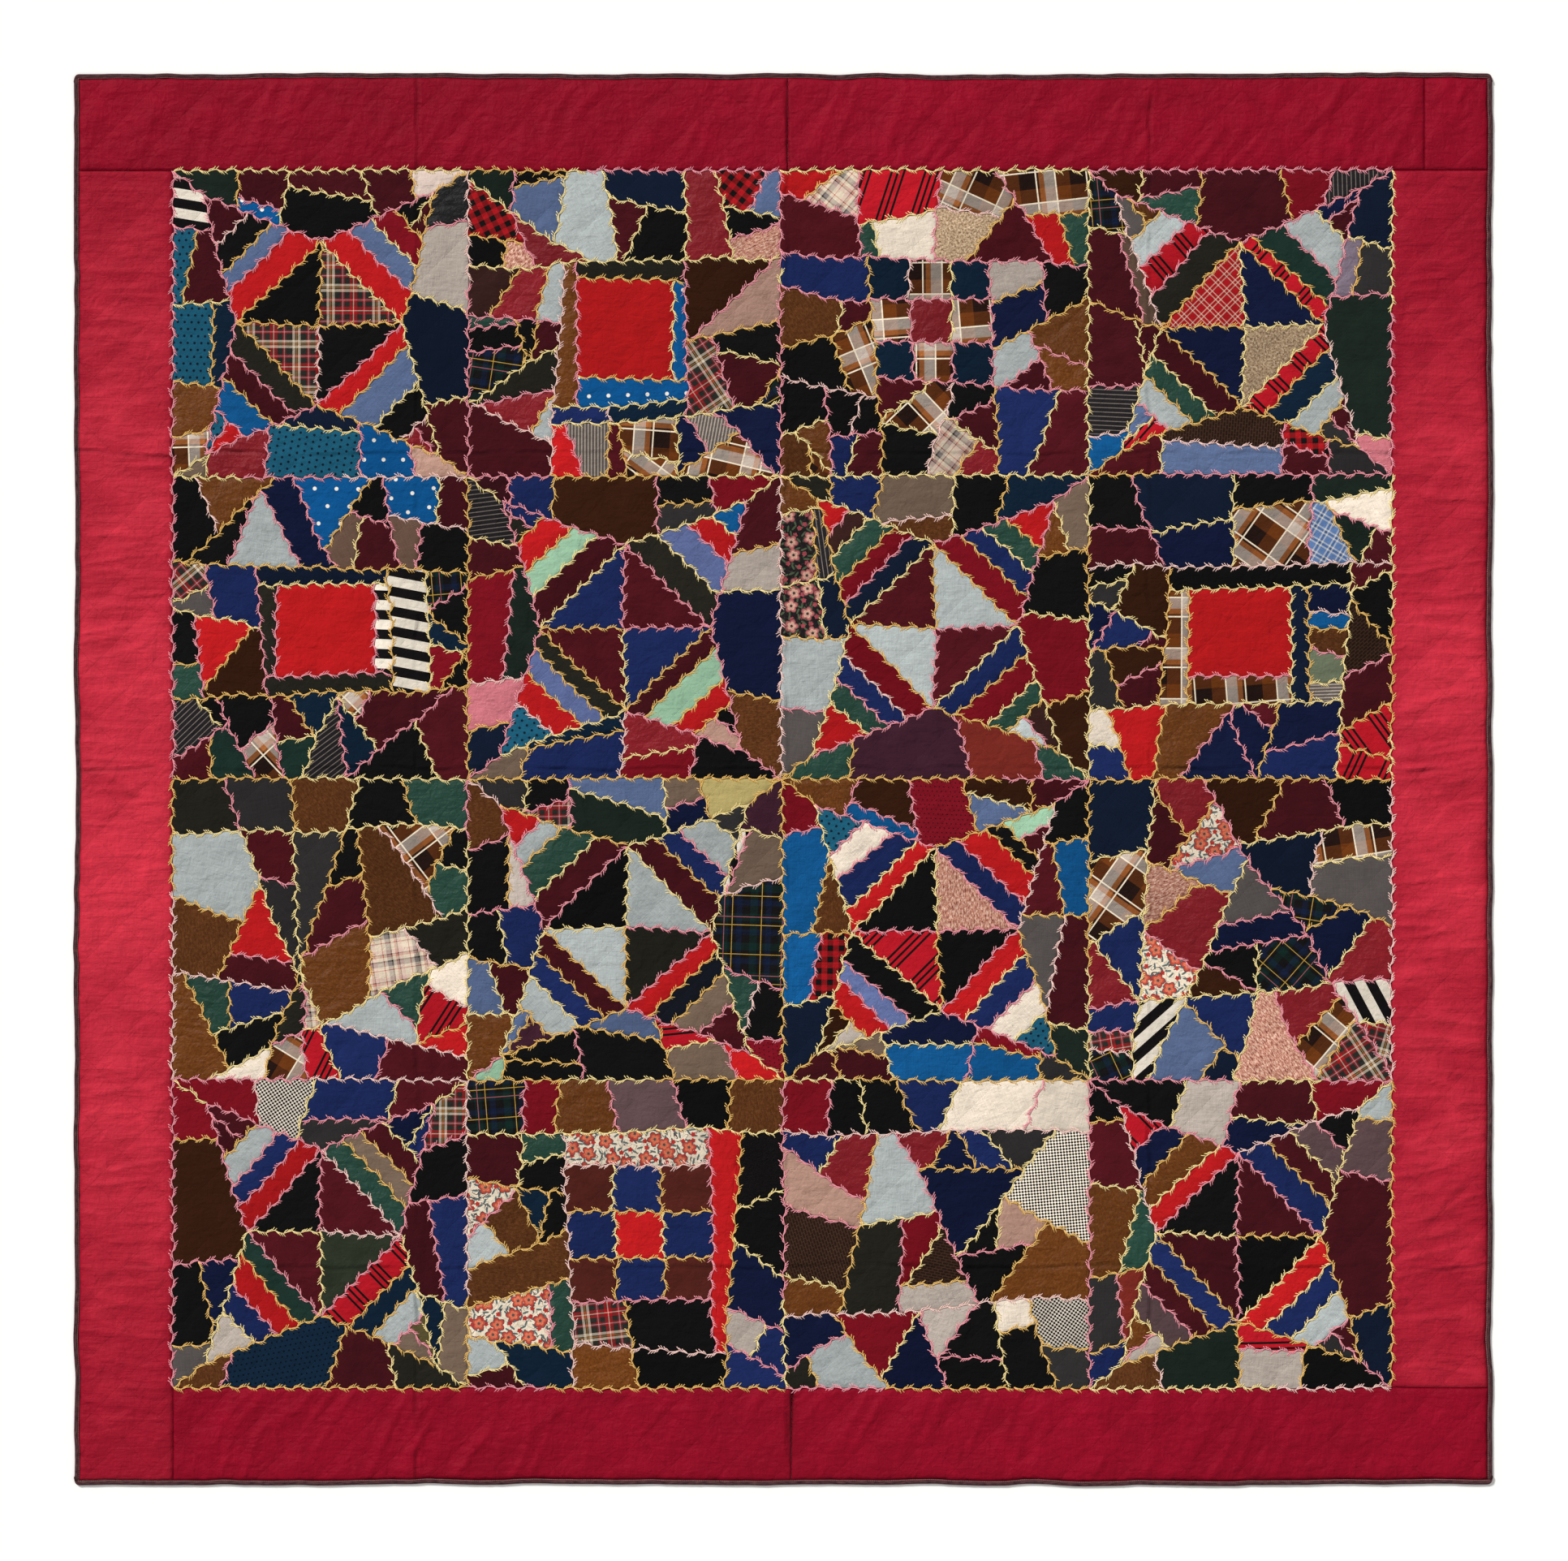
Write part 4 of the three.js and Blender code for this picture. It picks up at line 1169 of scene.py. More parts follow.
# Corners next to the block's edge move onto it, and corners less than a millimetre apart become one, the one
# that comes first.
def joinCorners(outlines):
    every = np.round(np.vstack(outlines), 2)
    half = piecing["half"]
    every = np.where(np.abs(np.abs(every) - half) < piecing["cornerJoin"], np.sign(every) * half, every)
    for _ in range(3):
        near = np.hypot(every[:, None, 0] - every[None, :, 0], every[:, None, 1] - every[None, :, 1])
        every = every[(near < piecing["cornerJoin"]).argmax(axis=1)]
    joined, start = [], 0
    for outline in outlines:
        moved = every[start:start + len(outline)]
        start += len(outline)
        joined.append(moved[np.hypot(*(moved - np.roll(moved, 1, axis=0)).T) > 0.01])
    return joined, np.unique(every, axis=0)


# The points along a patch's edge, the same for both patches that share it. Corners of other patches that
# lie on an edge split it, and each part is divided evenly, always counted from its lower end. Where the
# outline runs out and straight back, that spike is dropped.
def edgeSamples(outline, allCorners):
    points, heights = [], []
    middle = outline.mean(axis=0)
    for a, b in zip(outline, np.roll(outline, -1, axis=0)):
        along = b - a
        length = math.hypot(*along)
        share = (allCorners - a) @ along / length ** 2
        off = np.abs((allCorners[:, 0] - a[0]) * along[1] - (allCorners[:, 1] - a[1]) * along[0]) / length
        inner = (share * length > 0.3) & ((1 - share) * length > 0.3)
        between = allCorners[(off < piecing["cornerJoin"]) & inner]
        stops = np.vstack([a, between[np.argsort((between - a) @ along)], b])
        height = abs((middle[0] - a[0]) * along[1] - (middle[1] - a[1]) * along[0]) / length
        for p, q in zip(stops[:-1], stops[1:]):
            low, high = (p, q) if tuple(p) < tuple(q) else (q, p)
            count = max(1, int(round(math.hypot(*(q - p)) / quilt["sampleStep"])))
            part = low + (high - low) * (np.arange(count + 1) / count)[:, None]
            part = part if tuple(p) < tuple(q) else part[::-1]
            points.append(part[:-1])
            heights.append(np.full(count, height))
    points, heights = np.vstack(points), np.concatenate(heights)
    while True:
        back = np.hypot(*(np.roll(points, 1, axis=0) - np.roll(points, -1, axis=0)).T) < 1e-6
        if not back.any():
            return points, heights
        tip = back.argmax()
        kept = np.delete(np.arange(len(points)), [tip, (tip + 1) % len(points)])
        points, heights = points[kept], heights[kept]


# A closed sheet from its upper face: walls go straight down from the rim, which is given in order, and one
# flat face closes it below. Returns the points and the face sets.
def closeBelow(points, rim, material):
    count = len(points)
    below = points[rim].copy()
    below[:, 2] = 0.0
    lower = count + np.arange(len(rim))
    nextRim, nextLower = np.roll(rim, -1), np.roll(lower, -1)
    walls = np.stack([rim, lower, nextLower, nextRim], axis=1)
    everything = np.vstack([points, below])
    floorFace = lower[::-1][None, :]
    sets = [(walls, np.full(len(walls), material), everything[walls][:, :, :2]),
            (floorFace, np.full(1, material), everything[floorFace][:, :, :2])]
    return everything, sets


# Atlas places: the upper face fills most of a square, and walls and underside share a strip beside it.
def atlasPlaces(points, sets, topSets):
    low, high = points[:, :2].min(axis=0), points[:, :2].max(axis=0)
    share = (points[:, :2] - low) / (high - low).max()
    places = []
    for index, (faces, _, _) in enumerate(sets):
        spot = share[np.asarray(faces).ravel()]
        if index < topSets:
            places.append(0.005 + 0.93 * spot)
        else:
            places.append(np.stack([0.95 + 0.04 * spot[:, 0], 0.01 + 0.04 * spot[:, 1]], axis=1))
    return np.vstack(places)


rings = {
    "near": [0.0, 0.5, 1.2, 2.6],  # how far the first rings lie from the seam
    "step": 14.0,                  # between the others
    "fullAt": 6.0,                 # how far from the seam a patch reaches most of its fullness
}


# A block as one closed sheet. Each patch is a set of rings, its edge moved towards its middle: the first
# rings lie close together, because there the cloth turns down into the seam. Height is the quilt's upper
# face less a dip that dies out exponentially from the seam, and a little fullness that grows from it.
def makeBlock(row, column, layout, chance):
    outlines, allCorners = joinCorners([outline for outline, _, _ in layout["patches"]])
    local, depths, tones, quads, triangles = [], [], [], [], []
    rimKeys, start = [], 0
    names = [name for _, name, _ in layout["patches"]]
    used = sorted(set(names))
    for outline, (_, name, grain) in zip(outlines, layout["patches"]):
        points, heights = edgeSamples(outline, allCorners)
        middle = outline.mean(axis=0)
        far = np.hypot(*(points - middle).T).max()
        count = len(points)
        near = np.array(rings["near"])
        inner = max(1, int(round(far / rings["step"])))
        shares = [np.minimum(d / heights, 0.5 + 0.03 * i) for i, d in enumerate(near)]
        shares += [shares[-1] + (1 - shares[-1]) * (k / (inner + 1)) for k in range(1, inner + 1)]
        for share in shares:
            local.append(points + (middle - points) * share[:, None])
            depths.append(share * heights)
        local.append(middle[None, :])
        depths.append(np.array([heights.min()]))
        ringCount = len(shares)
        here = np.arange(count)
        after = (here + 1) % count
        ring = start + np.arange(ringCount - 1)[:, None] * count
        faces = np.stack([ring + here, ring + after, ring + count + after, ring + count + here], axis=2)
        slots = used.index(name)
        shift = chance.random(2) * 400
        quads.append((faces.reshape(-1, 4), slots, grain, shift))
        last = start + (ringCount - 1) * count
        fan = np.stack([last + here, last + after, np.full(count, last + count)], axis=1)
        triangles.append((fan, slots, grain, shift))
        tones.append(np.full(ringCount * count + 1, 0.96 + 0.09 * chance.standard_normal()))
        rimKeys.append(start + here)
        start += ringCount * count + 1
    local, depths, tones = np.vstack(local), np.concatenate(depths), np.concatenate(tones)
    edge = np.concatenate(rimKeys)
    _, first, which = np.unique(np.round(local[edge], 4), axis=0, return_index=True, return_inverse=True)
    merged = np.arange(len(local))
    merged[edge] = edge[first][which.ravel()]
    kept, compact = np.unique(merged, return_inverse=True)
    place = blockPlaces(row, column, local[kept], 0.08)
    depth = depths[kept]
    height = sheetTop(place[:, 0], place[:, 1]) - quilt["seamDip"] * np.exp(-depth / quilt["seamWidth"])
    height = height + quilt["patchFullness"] * (1 - np.exp(-depth / rings["fullAt"]))
    points = np.column_stack([place, height])
    sets = []
    for chosen in (quads, triangles):
        faces = np.vstack([compact[f] for f, _, _, _ in chosen])
        slots = np.concatenate([np.full(len(f), s) for f, s, _, _ in chosen])
        uvs = []
        for f, _, grain, shift in chosen:
            flat = place[compact[f].ravel()]
            cos, sin = math.cos(grain), math.sin(grain)
            uvs.append(flat @ np.array([[cos, -sin], [sin, cos]]) + shift)
        sets.append((faces, slots, np.vstack(uvs)))
    half = piecing["half"]
    onRim = np.flatnonzero((np.abs(local[kept]).max(axis=1) > half - 0.006) & (depth < 1e-6))
    rimLocal = local[kept][onRim]
    rim = onRim[np.argsort(np.arctan2(rimLocal[:, 1], rimLocal[:, 0]))]
    everything, closing = closeBelow(points, rim, len(used))
    sets += closing
    materials = [clothMaterial(name) for name in used] + [clothMaterial("backing")]
    allTones = np.concatenate([tones[kept], np.ones(len(rim))])
    node = f"block_r{row + 1}c{column + 1}"
    bake = atlasPlaces(everything, sets, 2)
    piece = makePiece("patchwork_" + node, everything, sets, materials, bake, allTones)
    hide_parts(node)
    return piece


def trianglesOf(pieces):
    return sum(len(face.vertices) - 2 for piece in pieces for face in piece.data.polygons)


layouts, blocks = {}, {}
for (row, column), design in designs.items():
    chance = np.random.default_rng(1000 + 37 * row + 11 * column)
    layout = {"patches": [], "seams": []}
    builders[design["kind"]](layout, design, chance)
    layouts[row, column] = layout
    blocks[row, column] = makeBlock(row, column, layout, chance)
patchCount = sum(len(layout["patches"]) for layout in layouts.values())
print("blocks ready:", patchCount, "patches,", trianglesOf(blocks.values()), "triangles")

# Feather stitching, for one repeat: places are along the seam and to its left. Each arm is one stitch, and
# the stem joins their feet.
stitching = {
    "repeat": 22.0,       # length of one repeat along a seam
    "threadWidth": 1.45,
    "threadHeight": 0.9,
    "endShare": 0.78,     # how thick a thread's ends are
    "lift": 0.15,         # of the thread's underside over the cloth
    "unevenness": 0.4,    # how far the needle strays
    "shortestSeam": 9.0,  # shorter seams have no stitching
    "longArms": [[(0.2, -1.2), (2.4, 1.3), (5.0, 2.8)], [(11.2, 1.2), (13.4, -1.3), (16.0, -2.8)]],
    "shortArms": [[(3.4, 0.0), (7.0, 4.2)], [(6.5, 1.0), (10.1, 5.1)], [(9.6, 1.5), (13.1, 5.2)],
                  [(14.4, 0.0), (18.0, -4.2)], [(17.5, -0.9), (21.1, -5.0)], [(20.6, -1.4), (24.1, -5.2)]],
    "stem": [[(0.0, -1.3), (4.6, 0.6), (9.8, 1.6), (15.8, -0.7), (22.0, -1.3)]],
}
threadColours = {"gold": (228, 182, 88), "cream": (240, 218, 146), "pink": (232, 144, 156),
                 "palePink": (240, 200, 190)}


# Embroidery thread: twisted strands, so fine dark lines lean across it: painted shade between the strands
# and a painted highlight on them, with a bump of the same wave.
def makeThread(name, shade):
    material, tree, shader = newMaterial("thread_" + name)
    place = partsOf(tree, addNode(tree, "ShaderNodeUVMap", uv_map="cloth").outputs[0])
    lean = timesPlus(tree, place[0], 7.5, times(tree, place[1], 4.0))
    twist = timesPlus(tree, maths(tree, "SINE", lean), 0.5, 0.5)
    shown = lightened(tree, colour(*shade), timesPlus(tree, twist, 0.26, 0.9))
    finishShader(tree, shader, shown, twist, 0.6, 0.2 * mm, {"Roughness": 0.55, "Sheen Weight": 0.2})
    return material


threadNames = list(threadColours)
threads = [makeThread(name, shade) for name, shade in threadColours.items()]


# Threads from centre lines: around each point of a line lie three corners, two on the cloth half a width to
# each side and one a height above. Both ends are thinner and closed. lines is an array of lines by points by
# (x, y), all with as many points.
def threadTubes(lines, slots, start):
    step = np.gradient(lines, axis=1)
    step /= np.maximum(np.linalg.norm(step, axis=2, keepdims=True), 1e-6)
    across = np.stack([-step[:, :, 1], step[:, :, 0]], axis=2)
    many, count = lines.shape[:2]
    thin = np.ones(count)
    thin[0] = thin[-1] = stitching["endShare"]
    half = 0.5 * stitching["threadWidth"] * thin[None, :, None]
    left, right = lines + across * half, lines - across * half
    ground = sheetTop(lines[:, :, 0], lines[:, :, 1]) + stitching["lift"] - quilt["seamDip"] * 0.2
    crest = ground + stitching["threadHeight"] * (0.35 + 0.65 * thin)
    threeCorners = [np.dstack(pair) for pair in ((right, ground), (lines, crest), (left, ground))]
    corner = np.stack(threeCorners, axis=2)
    index = start + np.arange(many * count * 3).reshape(many, count, 3)
    steps = np.linalg.norm(np.diff(lines, axis=1), axis=2)
    far = np.concatenate([np.zeros((many, 1)), steps.cumsum(axis=1)], axis=1)
    before, after = far[:, :-1], far[:, 1:]
    quads, quadUv = [], []
    for side in range(3):
        other = (side + 1) % 3
        first, second = index[:, :-1], index[:, 1:]
        quad = [first[..., side], second[..., side], second[..., other], first[..., other]]
        quads.append(np.stack(quad, -1))
        low, high = np.full_like(before, side), np.full_like(before, side + 1.0)
        around = ((before, low), (after, low), (after, high), (before, high))
        quadUv.append(np.stack([np.stack(pair, -1) for pair in around], axis=2))
    quads = np.concatenate([q.reshape(-1, 4) for q in quads])
    quadUv = np.concatenate([u.reshape(-1, 4, 2) for u in quadUv])
    caps = np.concatenate([index[:, 0, :], index[:, -1, ::-1]])
    capUv = np.tile(np.array([[0.0, 0.5], [0.2, 0.5], [0.1, 0.8]]), (len(caps), 1, 1))
    quadSlots = np.tile(np.repeat(slots, count - 1), 3)
    return corner.reshape(-1, 3), quads, quadUv, quadSlots, caps, capUv, np.tile(slots, 2)


# All the stitching of some seams as one piece: a seam is divided into whole repeats, and each arm and stem
# is laid along it with a little chance in its places. toQuilt turns seam places into the quilt's.
def makeStitching(name, seams, toQuilt, chance):
    families = {3: [], 2: [], 5: []}
    familySlots = {3: [], 2: [], 5: []}
    for start, end, thread in seams:
        length = float(np.linalg.norm(end - start))
        if length < stitching["shortestSeam"]:
            continue
        repeats = max(1, int(round(length / stitching["repeat"])))
        scale = length / repeats / stitching["repeat"]
        along = (end - start) / length
        if chance.random() < 0.5:
            start, along = end, -along
        across = quarterTurn(along) * (1 if chance.random() < 0.5 else -1)
        offsets = np.arange(repeats)[:, None, None] * stitching["repeat"]
        for kind in ("longArms", "shortArms", "stem"):
            for arm in stitching[kind]:
                size, isStem = len(arm), kind == "stem"
                shape = np.array(arm)[None, :, :]
                t = (shape[:, :, :1] + offsets) * scale
                n = np.repeat(shape[:, :, 1:], repeats, axis=0)
                stray = 0.0 if isStem else stitching["unevenness"]
                t = t + stray * chance.standard_normal(t.shape)
                n = n * (1 + 0.12 * chance.standard_normal((repeats, 1, 1)))
                n = n + 0.6 * stray * chance.standard_normal(n.shape)
                line = start + t * along + n * across
                line = line if isStem else line[t.max(axis=(1, 2)) < length + 0.8]
                families[size].append(line)
                familySlots[size].append(np.full(len(line), threadNames.index(thread)))
    made, count = [], 0
    for size, lines in families.items():
        lines, slots = np.concatenate(lines), np.concatenate(familySlots[size])
        placed = toQuilt(lines.reshape(-1, 2)).reshape(lines.shape)
        made.append(threadTubes(placed, slots, count))
        count += len(made[-1][0])
    points, quads, quadUv, quadSlots, caps, capUv, capSlots = [np.concatenate(part) for part in zip(*made)]
    sets = [(quads, quadSlots, quadUv), (caps, capSlots, capUv)]
    bake = []
    for _, slots, uv in sets:
        across = uv[..., 0] / 40
        up = (slots[:, None] + 0.08 + 0.84 * uv[..., 1] / 3) / len(threads)
        bake.append(np.stack([0.01 + 0.98 * np.clip(across, 0, 1), up], axis=-1).reshape(-1, 2))
    piece = makePiece(name, points, sets, threads, np.concatenate(bake))
    return piece


# A line between two corners of blocks, in runs of one thread each.
def seamRuns(first, second, chance):
    stops = np.sort(chance.random(chance.integers(0, 3)) * 0.7 + 0.15)
    stops = np.concatenate([[0.0], stops, [1.0]])
    layout = {"seams": []}
    for low, high in zip(stops[:-1], stops[1:]):
        addSeam(layout, (first + (second - first) * low, first + (second - first) * high), chance)
    return layout["seams"]


for (row, column), layout in layouts.items():
    chance = np.random.default_rng(5000 + 10 * row + column)
    makeStitching(f"stitching_r{row + 1}c{column + 1}", layout["seams"],
                                          lambda p, r=row, c=column: blockPlaces(r, c, p), chance)
chance = np.random.default_rng(77)
rowSeams = [seam for row in range(5) for column in range(4)
            for seam in seamRuns(corners[row, column], corners[row, column + 1], chance)]
columnSeams = [seam for row in range(4) for column in range(5)
               for seam in seamRuns(corners[row, column], corners[row + 1, column], chance)]
for name, seams in (("stitching_rows", rowSeams), ("stitching_columns", columnSeams)):
    makeStitching(name, seams, lambda p: np.stack(wandered(*p.T), axis=1), chance)

# The border: strips of one sateen, seven pieces, gathered a little by the quilting so that fine wrinkles run
# across the side strips and drag aslant in the upper and lower ones.
border = {
    "wrinkleHigh": 2.2,   # height of the wide wrinkles
    "fineHigh": 0.8,      # and of the fine ones
    "angles": (0.06, 1.15),  # how the wrinkles lie in the side strips and in the others, in radians
    "acrossStep": 4.6,    # of the mesh in the side strips
    "alongStep": 2.6,
    "endStep": 3.6,       # the same two steps in the upper and lower strips
    "endAlongStep": 4.2,
    "hem": 6.2,           # from the outer edge to where the binding covers it
    "paintedSheenAlong": {        # how light the side strips are, from below upwards: painted sheen, lighter in the middle and darker towards the ends
        "border_left": [(-800, 0.78), (-650, 0.83), (-500, 0.88), (-340, 0.95), (-50, 0.97), (250, 0.95),
                        (400, 0.94), (550, 0.89), (720, 0.79)],
        "border_right": [(-800, 0.79), (-650, 0.83), (-350, 0.89), (-100, 0.91), (120, 0.9), (300, 0.87),
                         (420, 0.83), (560, 0.78), (720, 0.77)],
    },
    # The seam of the lower strips gapes at its top, and the gap is darkened with painted shadow.
    "openSeam": {"x": 10.05, "long": 100.0, "wide": 2.4, "deep": 1.5},
    # The sateen's colours. It is one cloth: the side strips are rose and the upper and lower ones crimson
    # only because its sheen differs across the grain, so the difference between them is painted sheen.
    # deepRose and paleRose are the side strips' colour where their tone is low and where it is high.
    "deepRose": (160, 20, 43),
    "paleRose": (188, 43, 60),
    "crimson": (130, 6, 31),
}


# A red that is deeper where the mesh's tone is low and paler where it is high, so that the painted sheen and
# painted shade carried by the tone change its hue as well as its lightness.
def sheenAndShadeRed(tree, cloth):
    tone = addNode(tree, "ShaderNodeAttribute", attribute_name="tone").outputs["Fac"]
    share = ramped(tree, tone, 0.78, 1.02)
    return mixed(tree, share, colour(*border["deepRose"]), colour(*border["paleRose"]))


sateen = {"rough": 0.55, "shine": 0.06, "contrast": 0.16, "slub": 0.2, "patchiness": 0.4, "crumple": 1.2,
          "stitchLight": 0.8}
# Two materials of the one sateen, rose for the side strips and crimson for the others: the difference
# between them is painted sheen.
cloths["borderRose"] = {"pattern": sheenAndShadeRed, **sateen, "extraHeight": ripples(45.0, 5.0, 6.0)}
cloths["borderCrimson"] = {"base": border["crimson"], **sateen, "extraHeight": ripples(8.0, 40.0, 5.0)}
borderPieces = {
    "border_top_left": ("leftEdge", 5.95, "topSeam", "topEdge"),
    "border_top_right": (5.95, 789.95, "topSeam", "topEdge"),
    "border_top_end": (789.95, "rightEdge", "topSeam", "topEdge"),
    "border_left": ("leftEdge", "leftSeam", "bottomEdge", "topSeam"),
    "border_bottom_left": ("leftSeam", 10.05, "bottomEdge", "bottomSeam"),
    "border_bottom_right": (10.05, "rightEdge", "bottomEdge", "bottomSeam"),
    "border_right": ("rightSeam", "rightEdge", "bottomSeam", "topSeam"),
}


seamLines = {"topSeam": corners[0], "bottomSeam": corners[4], "leftSeam": corners[::-1, 0, ::-1],
             "rightSeam": corners[::-1, 4, ::-1]}


# One bounding line of a border piece at the given places, as an array of their shape: a number, a seam line
# of the field carried on level beyond its ends, or the outer edge less the hem.
def boundAt(name, places):
    along = places.ravel()
    if not isinstance(name, str):
        found = np.full_like(along, name)
    elif name in seamLines:
        found = np.interp(along, *seamLines[name].T)
    else:
        side = name.replace("Edge", "")
        found = edgeAt(side, along) - edges[side][2] * border["hem"]
    return found.reshape(places.shape)


# Wrinkles: ridges where a stretched noise passes its middle value, cubed for sharp crests, in two sizes,
# strong in some parts and faint in others. They run at a given angle, and spread is their size.
def wrinkles(x, y, angle, spread):
    along = x * math.cos(angle) + y * math.sin(angle)
    across = -x * math.sin(angle) + y * math.cos(angle)
    wide = 1 - np.abs(2 * softNoise(along / (76 * spread), across / (14 * spread), 61) - 1)
    fine = 1 - np.abs(2 * softNoise(along / (46 * spread), across / (6.5 * spread), 62) - 1)
    strength = 0.35 + 0.9 * softNoise(x / 120 + 3, y / 95 + 8, 63)
    return strength * (border["wrinkleHigh"] * wide ** 3 + border["fineHigh"] * fine ** 3)


# A border piece: a grid between its four bounding lines, each place a blend of them, found in a few rounds
# because the lines aren't straight.
def makeBorder(name, bounds):
    low, high, base, top = bounds
    side = name in ("border_left", "border_right")
    wide, far = (115, 1500) if side else (790, 115)
    if name == "border_top_end":
        wide = 80
    columns = int(wide / border["acrossStep" if side else "endStep"]) + 1
    rows = int(far / border["alongStep" if side else "endAlongStep"]) + 1
    a, b = np.meshgrid(np.linspace(0.0003, 0.9997, columns), np.linspace(0.0003, 0.9997, rows))
    x = np.full_like(a, (boundAt(low, np.zeros(1))[0] + boundAt(high, np.zeros(1))[0]) / 2)
    for _ in range(4):
        y = (1 - b) * boundAt(base, x) + b * boundAt(top, x)
        x = (1 - a) * boundAt(low, y) + a * boundAt(high, y)
    inside = np.minimum.reduce([x - boundAt(low, y), boundAt(high, y) - x, y - boundAt(base, x),
                                boundAt(top, x) - y])
    inside = np.maximum(inside, 0)
    movedX, movedY = wandered(x, y)
    angle = border["angles"][0 if side else 1]
    bend = 26 * (softNoise(x / 110, y / 90, 65) - 0.5)
    ridge = wrinkles(x - bend, y + bend, angle, 1.0 if side else 1.7)
    height = sheetTop(movedX, movedY) + ridge * (1 - np.exp(-inside / 5)) - 0.25
    height = height - quilt["seamDip"] * np.exp(-inside / 1.6)
    points = np.column_stack([movedX.ravel(), movedY.ravel(), height.ravel()])
    index = np.arange(rows * columns).reshape(rows, columns)
    around = [index[:-1, :-1], index[:-1, 1:], index[1:, 1:], index[1:, :-1]]
    faces = np.stack(around, axis=-1).reshape(-1, 4)
    rim = np.concatenate([index[0, :-1], index[:-1, -1], index[-1, :0:-1], index[:0:-1, 0]])
    sets = [(faces, np.zeros(len(faces), int), points[faces][:, :, :2])]
    everything, closing = closeBelow(points, rim, 1)
    sets += closing
    cloth = clothMaterial("borderRose" if side else "borderCrimson")
    # Soft blotches of tone from two noises stand for the sateen's uneven sheen, and the wrinkles' crests are
    # lighter by 0.03 of their height: painted sheen and a painted highlight.
    lightness = 0.9 + 0.14 * softNoise(x / 170 + 4, y / 140 + 9, 66) + 0.03 * ridge
    lightness = lightness + 0.1 * softNoise(x / 46 + 9, y / 38 + 2, 67)
    # Painted shade near the piece's bounds: darker along the seams and under the binding's edge.
    lightness = lightness * (1 - 0.1 * np.exp(-inside / 7))
    if name in ("border_bottom_left", "border_bottom_right"):
        seam = border["openSeam"]
        share = np.clip(1 - (boundAt(top, x) - y) / seam["long"], 0, 1)
        gape = share * np.exp(-np.abs(x - seam["x"]) / seam["wide"])
        # Painted shadow in the gap: the cloth there is up to nine tenths darker.
        lightness = lightness * (1 - 0.9 * gape)
        points[:, 2] = points[:, 2] - seam["deep"] * gape.ravel()
    # Painted sheen along the side strips: lighter in the middle, darker towards the ends.
    if name in border["paintedSheenAlong"]:
        places, tones = zip(*border["paintedSheenAlong"][name])
        lightness = lightness * np.interp(y, places, tones)
    tones = np.concatenate([lightness.ravel(), np.ones(len(rim))])
    piece = makePiece("sateen_" + name, everything, sets, [cloth, clothMaterial("backing")],
                      atlasPlaces(everything, sets, 1), tones)
    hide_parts(name)
    return piece


borders = {name: makeBorder(name, bounds) for name, bounds in borderPieces.items()}
print("border ready")

# The binding: a tape folded over the edge and stitched down near its inner side. The profile gives the
# distance from the outer edge and the height, once round.
binding = {
    "width": 6.0,
    "thickness": 4.6,
    "profileStep": 0.61,   # of the cloth coordinates, between points of the profile
    "stitchPlace": 4.9,    # where the stitching line lies in those coordinates
    "stitchPitch": 2.6,
    "stitchShare": 0.6,    # how much of the pitch shows thread
    "threadHalf": 0.28,
    "colours": [(44, 22, 28), (96, 62, 62), (150, 116, 108)],  # dark and light slubs, and thread
    "profile": [(0.5, 0.0), (0.05, 1.1), (0.0, 2.3), (0.45, 3.5), (1.6, 4.35), (3.1, 4.5), (4.3, 4.2),
                (4.9, 3.75), (5.4, 3.8), (5.9, 3.2), (6.0, 2.2), (6.0, 0.0)],
    "cornerRadius": 5.0,
    "colour": (66, 38, 42),
    "step": 6.0,
}


# The tape's look: slubs along its length from a stretched noise, and pale stitches, which are a thin line
# times a dash.
def tapePattern(tree, cloth):
    place = partsOf(tree, cloth)
    slubs = noiseOf(tree, stretched(tree, cloth, 0.12, 1.1), 1.0, 3.0, 0.7)
    dark, light, thread = [colour(*shade) for shade in binding["colours"]]
    shade = mixed(tree, ramped(tree, slubs, 0.35, 0.7), dark, light)
    line = under(tree, sizeOf(tree, minus(tree, place[1], binding["stitchPlace"])), binding["threadHalf"])
    dash = maths(tree, "FRACT", over(tree, place[0], binding["stitchPitch"]))
    dash = under(tree, dash, binding["stitchShare"])
    return mixed(tree, times(tree, line, dash), shade, thread)


cloths["bindingTape"] = {"base": binding["colour"], "pattern": tapePattern, "quilted": False, "pitch": 0.6,
                         "contrast": 0.3, "slub": 0.2, "patchiness": 0.3, "rough": 0.7, "relief": 0.0002}


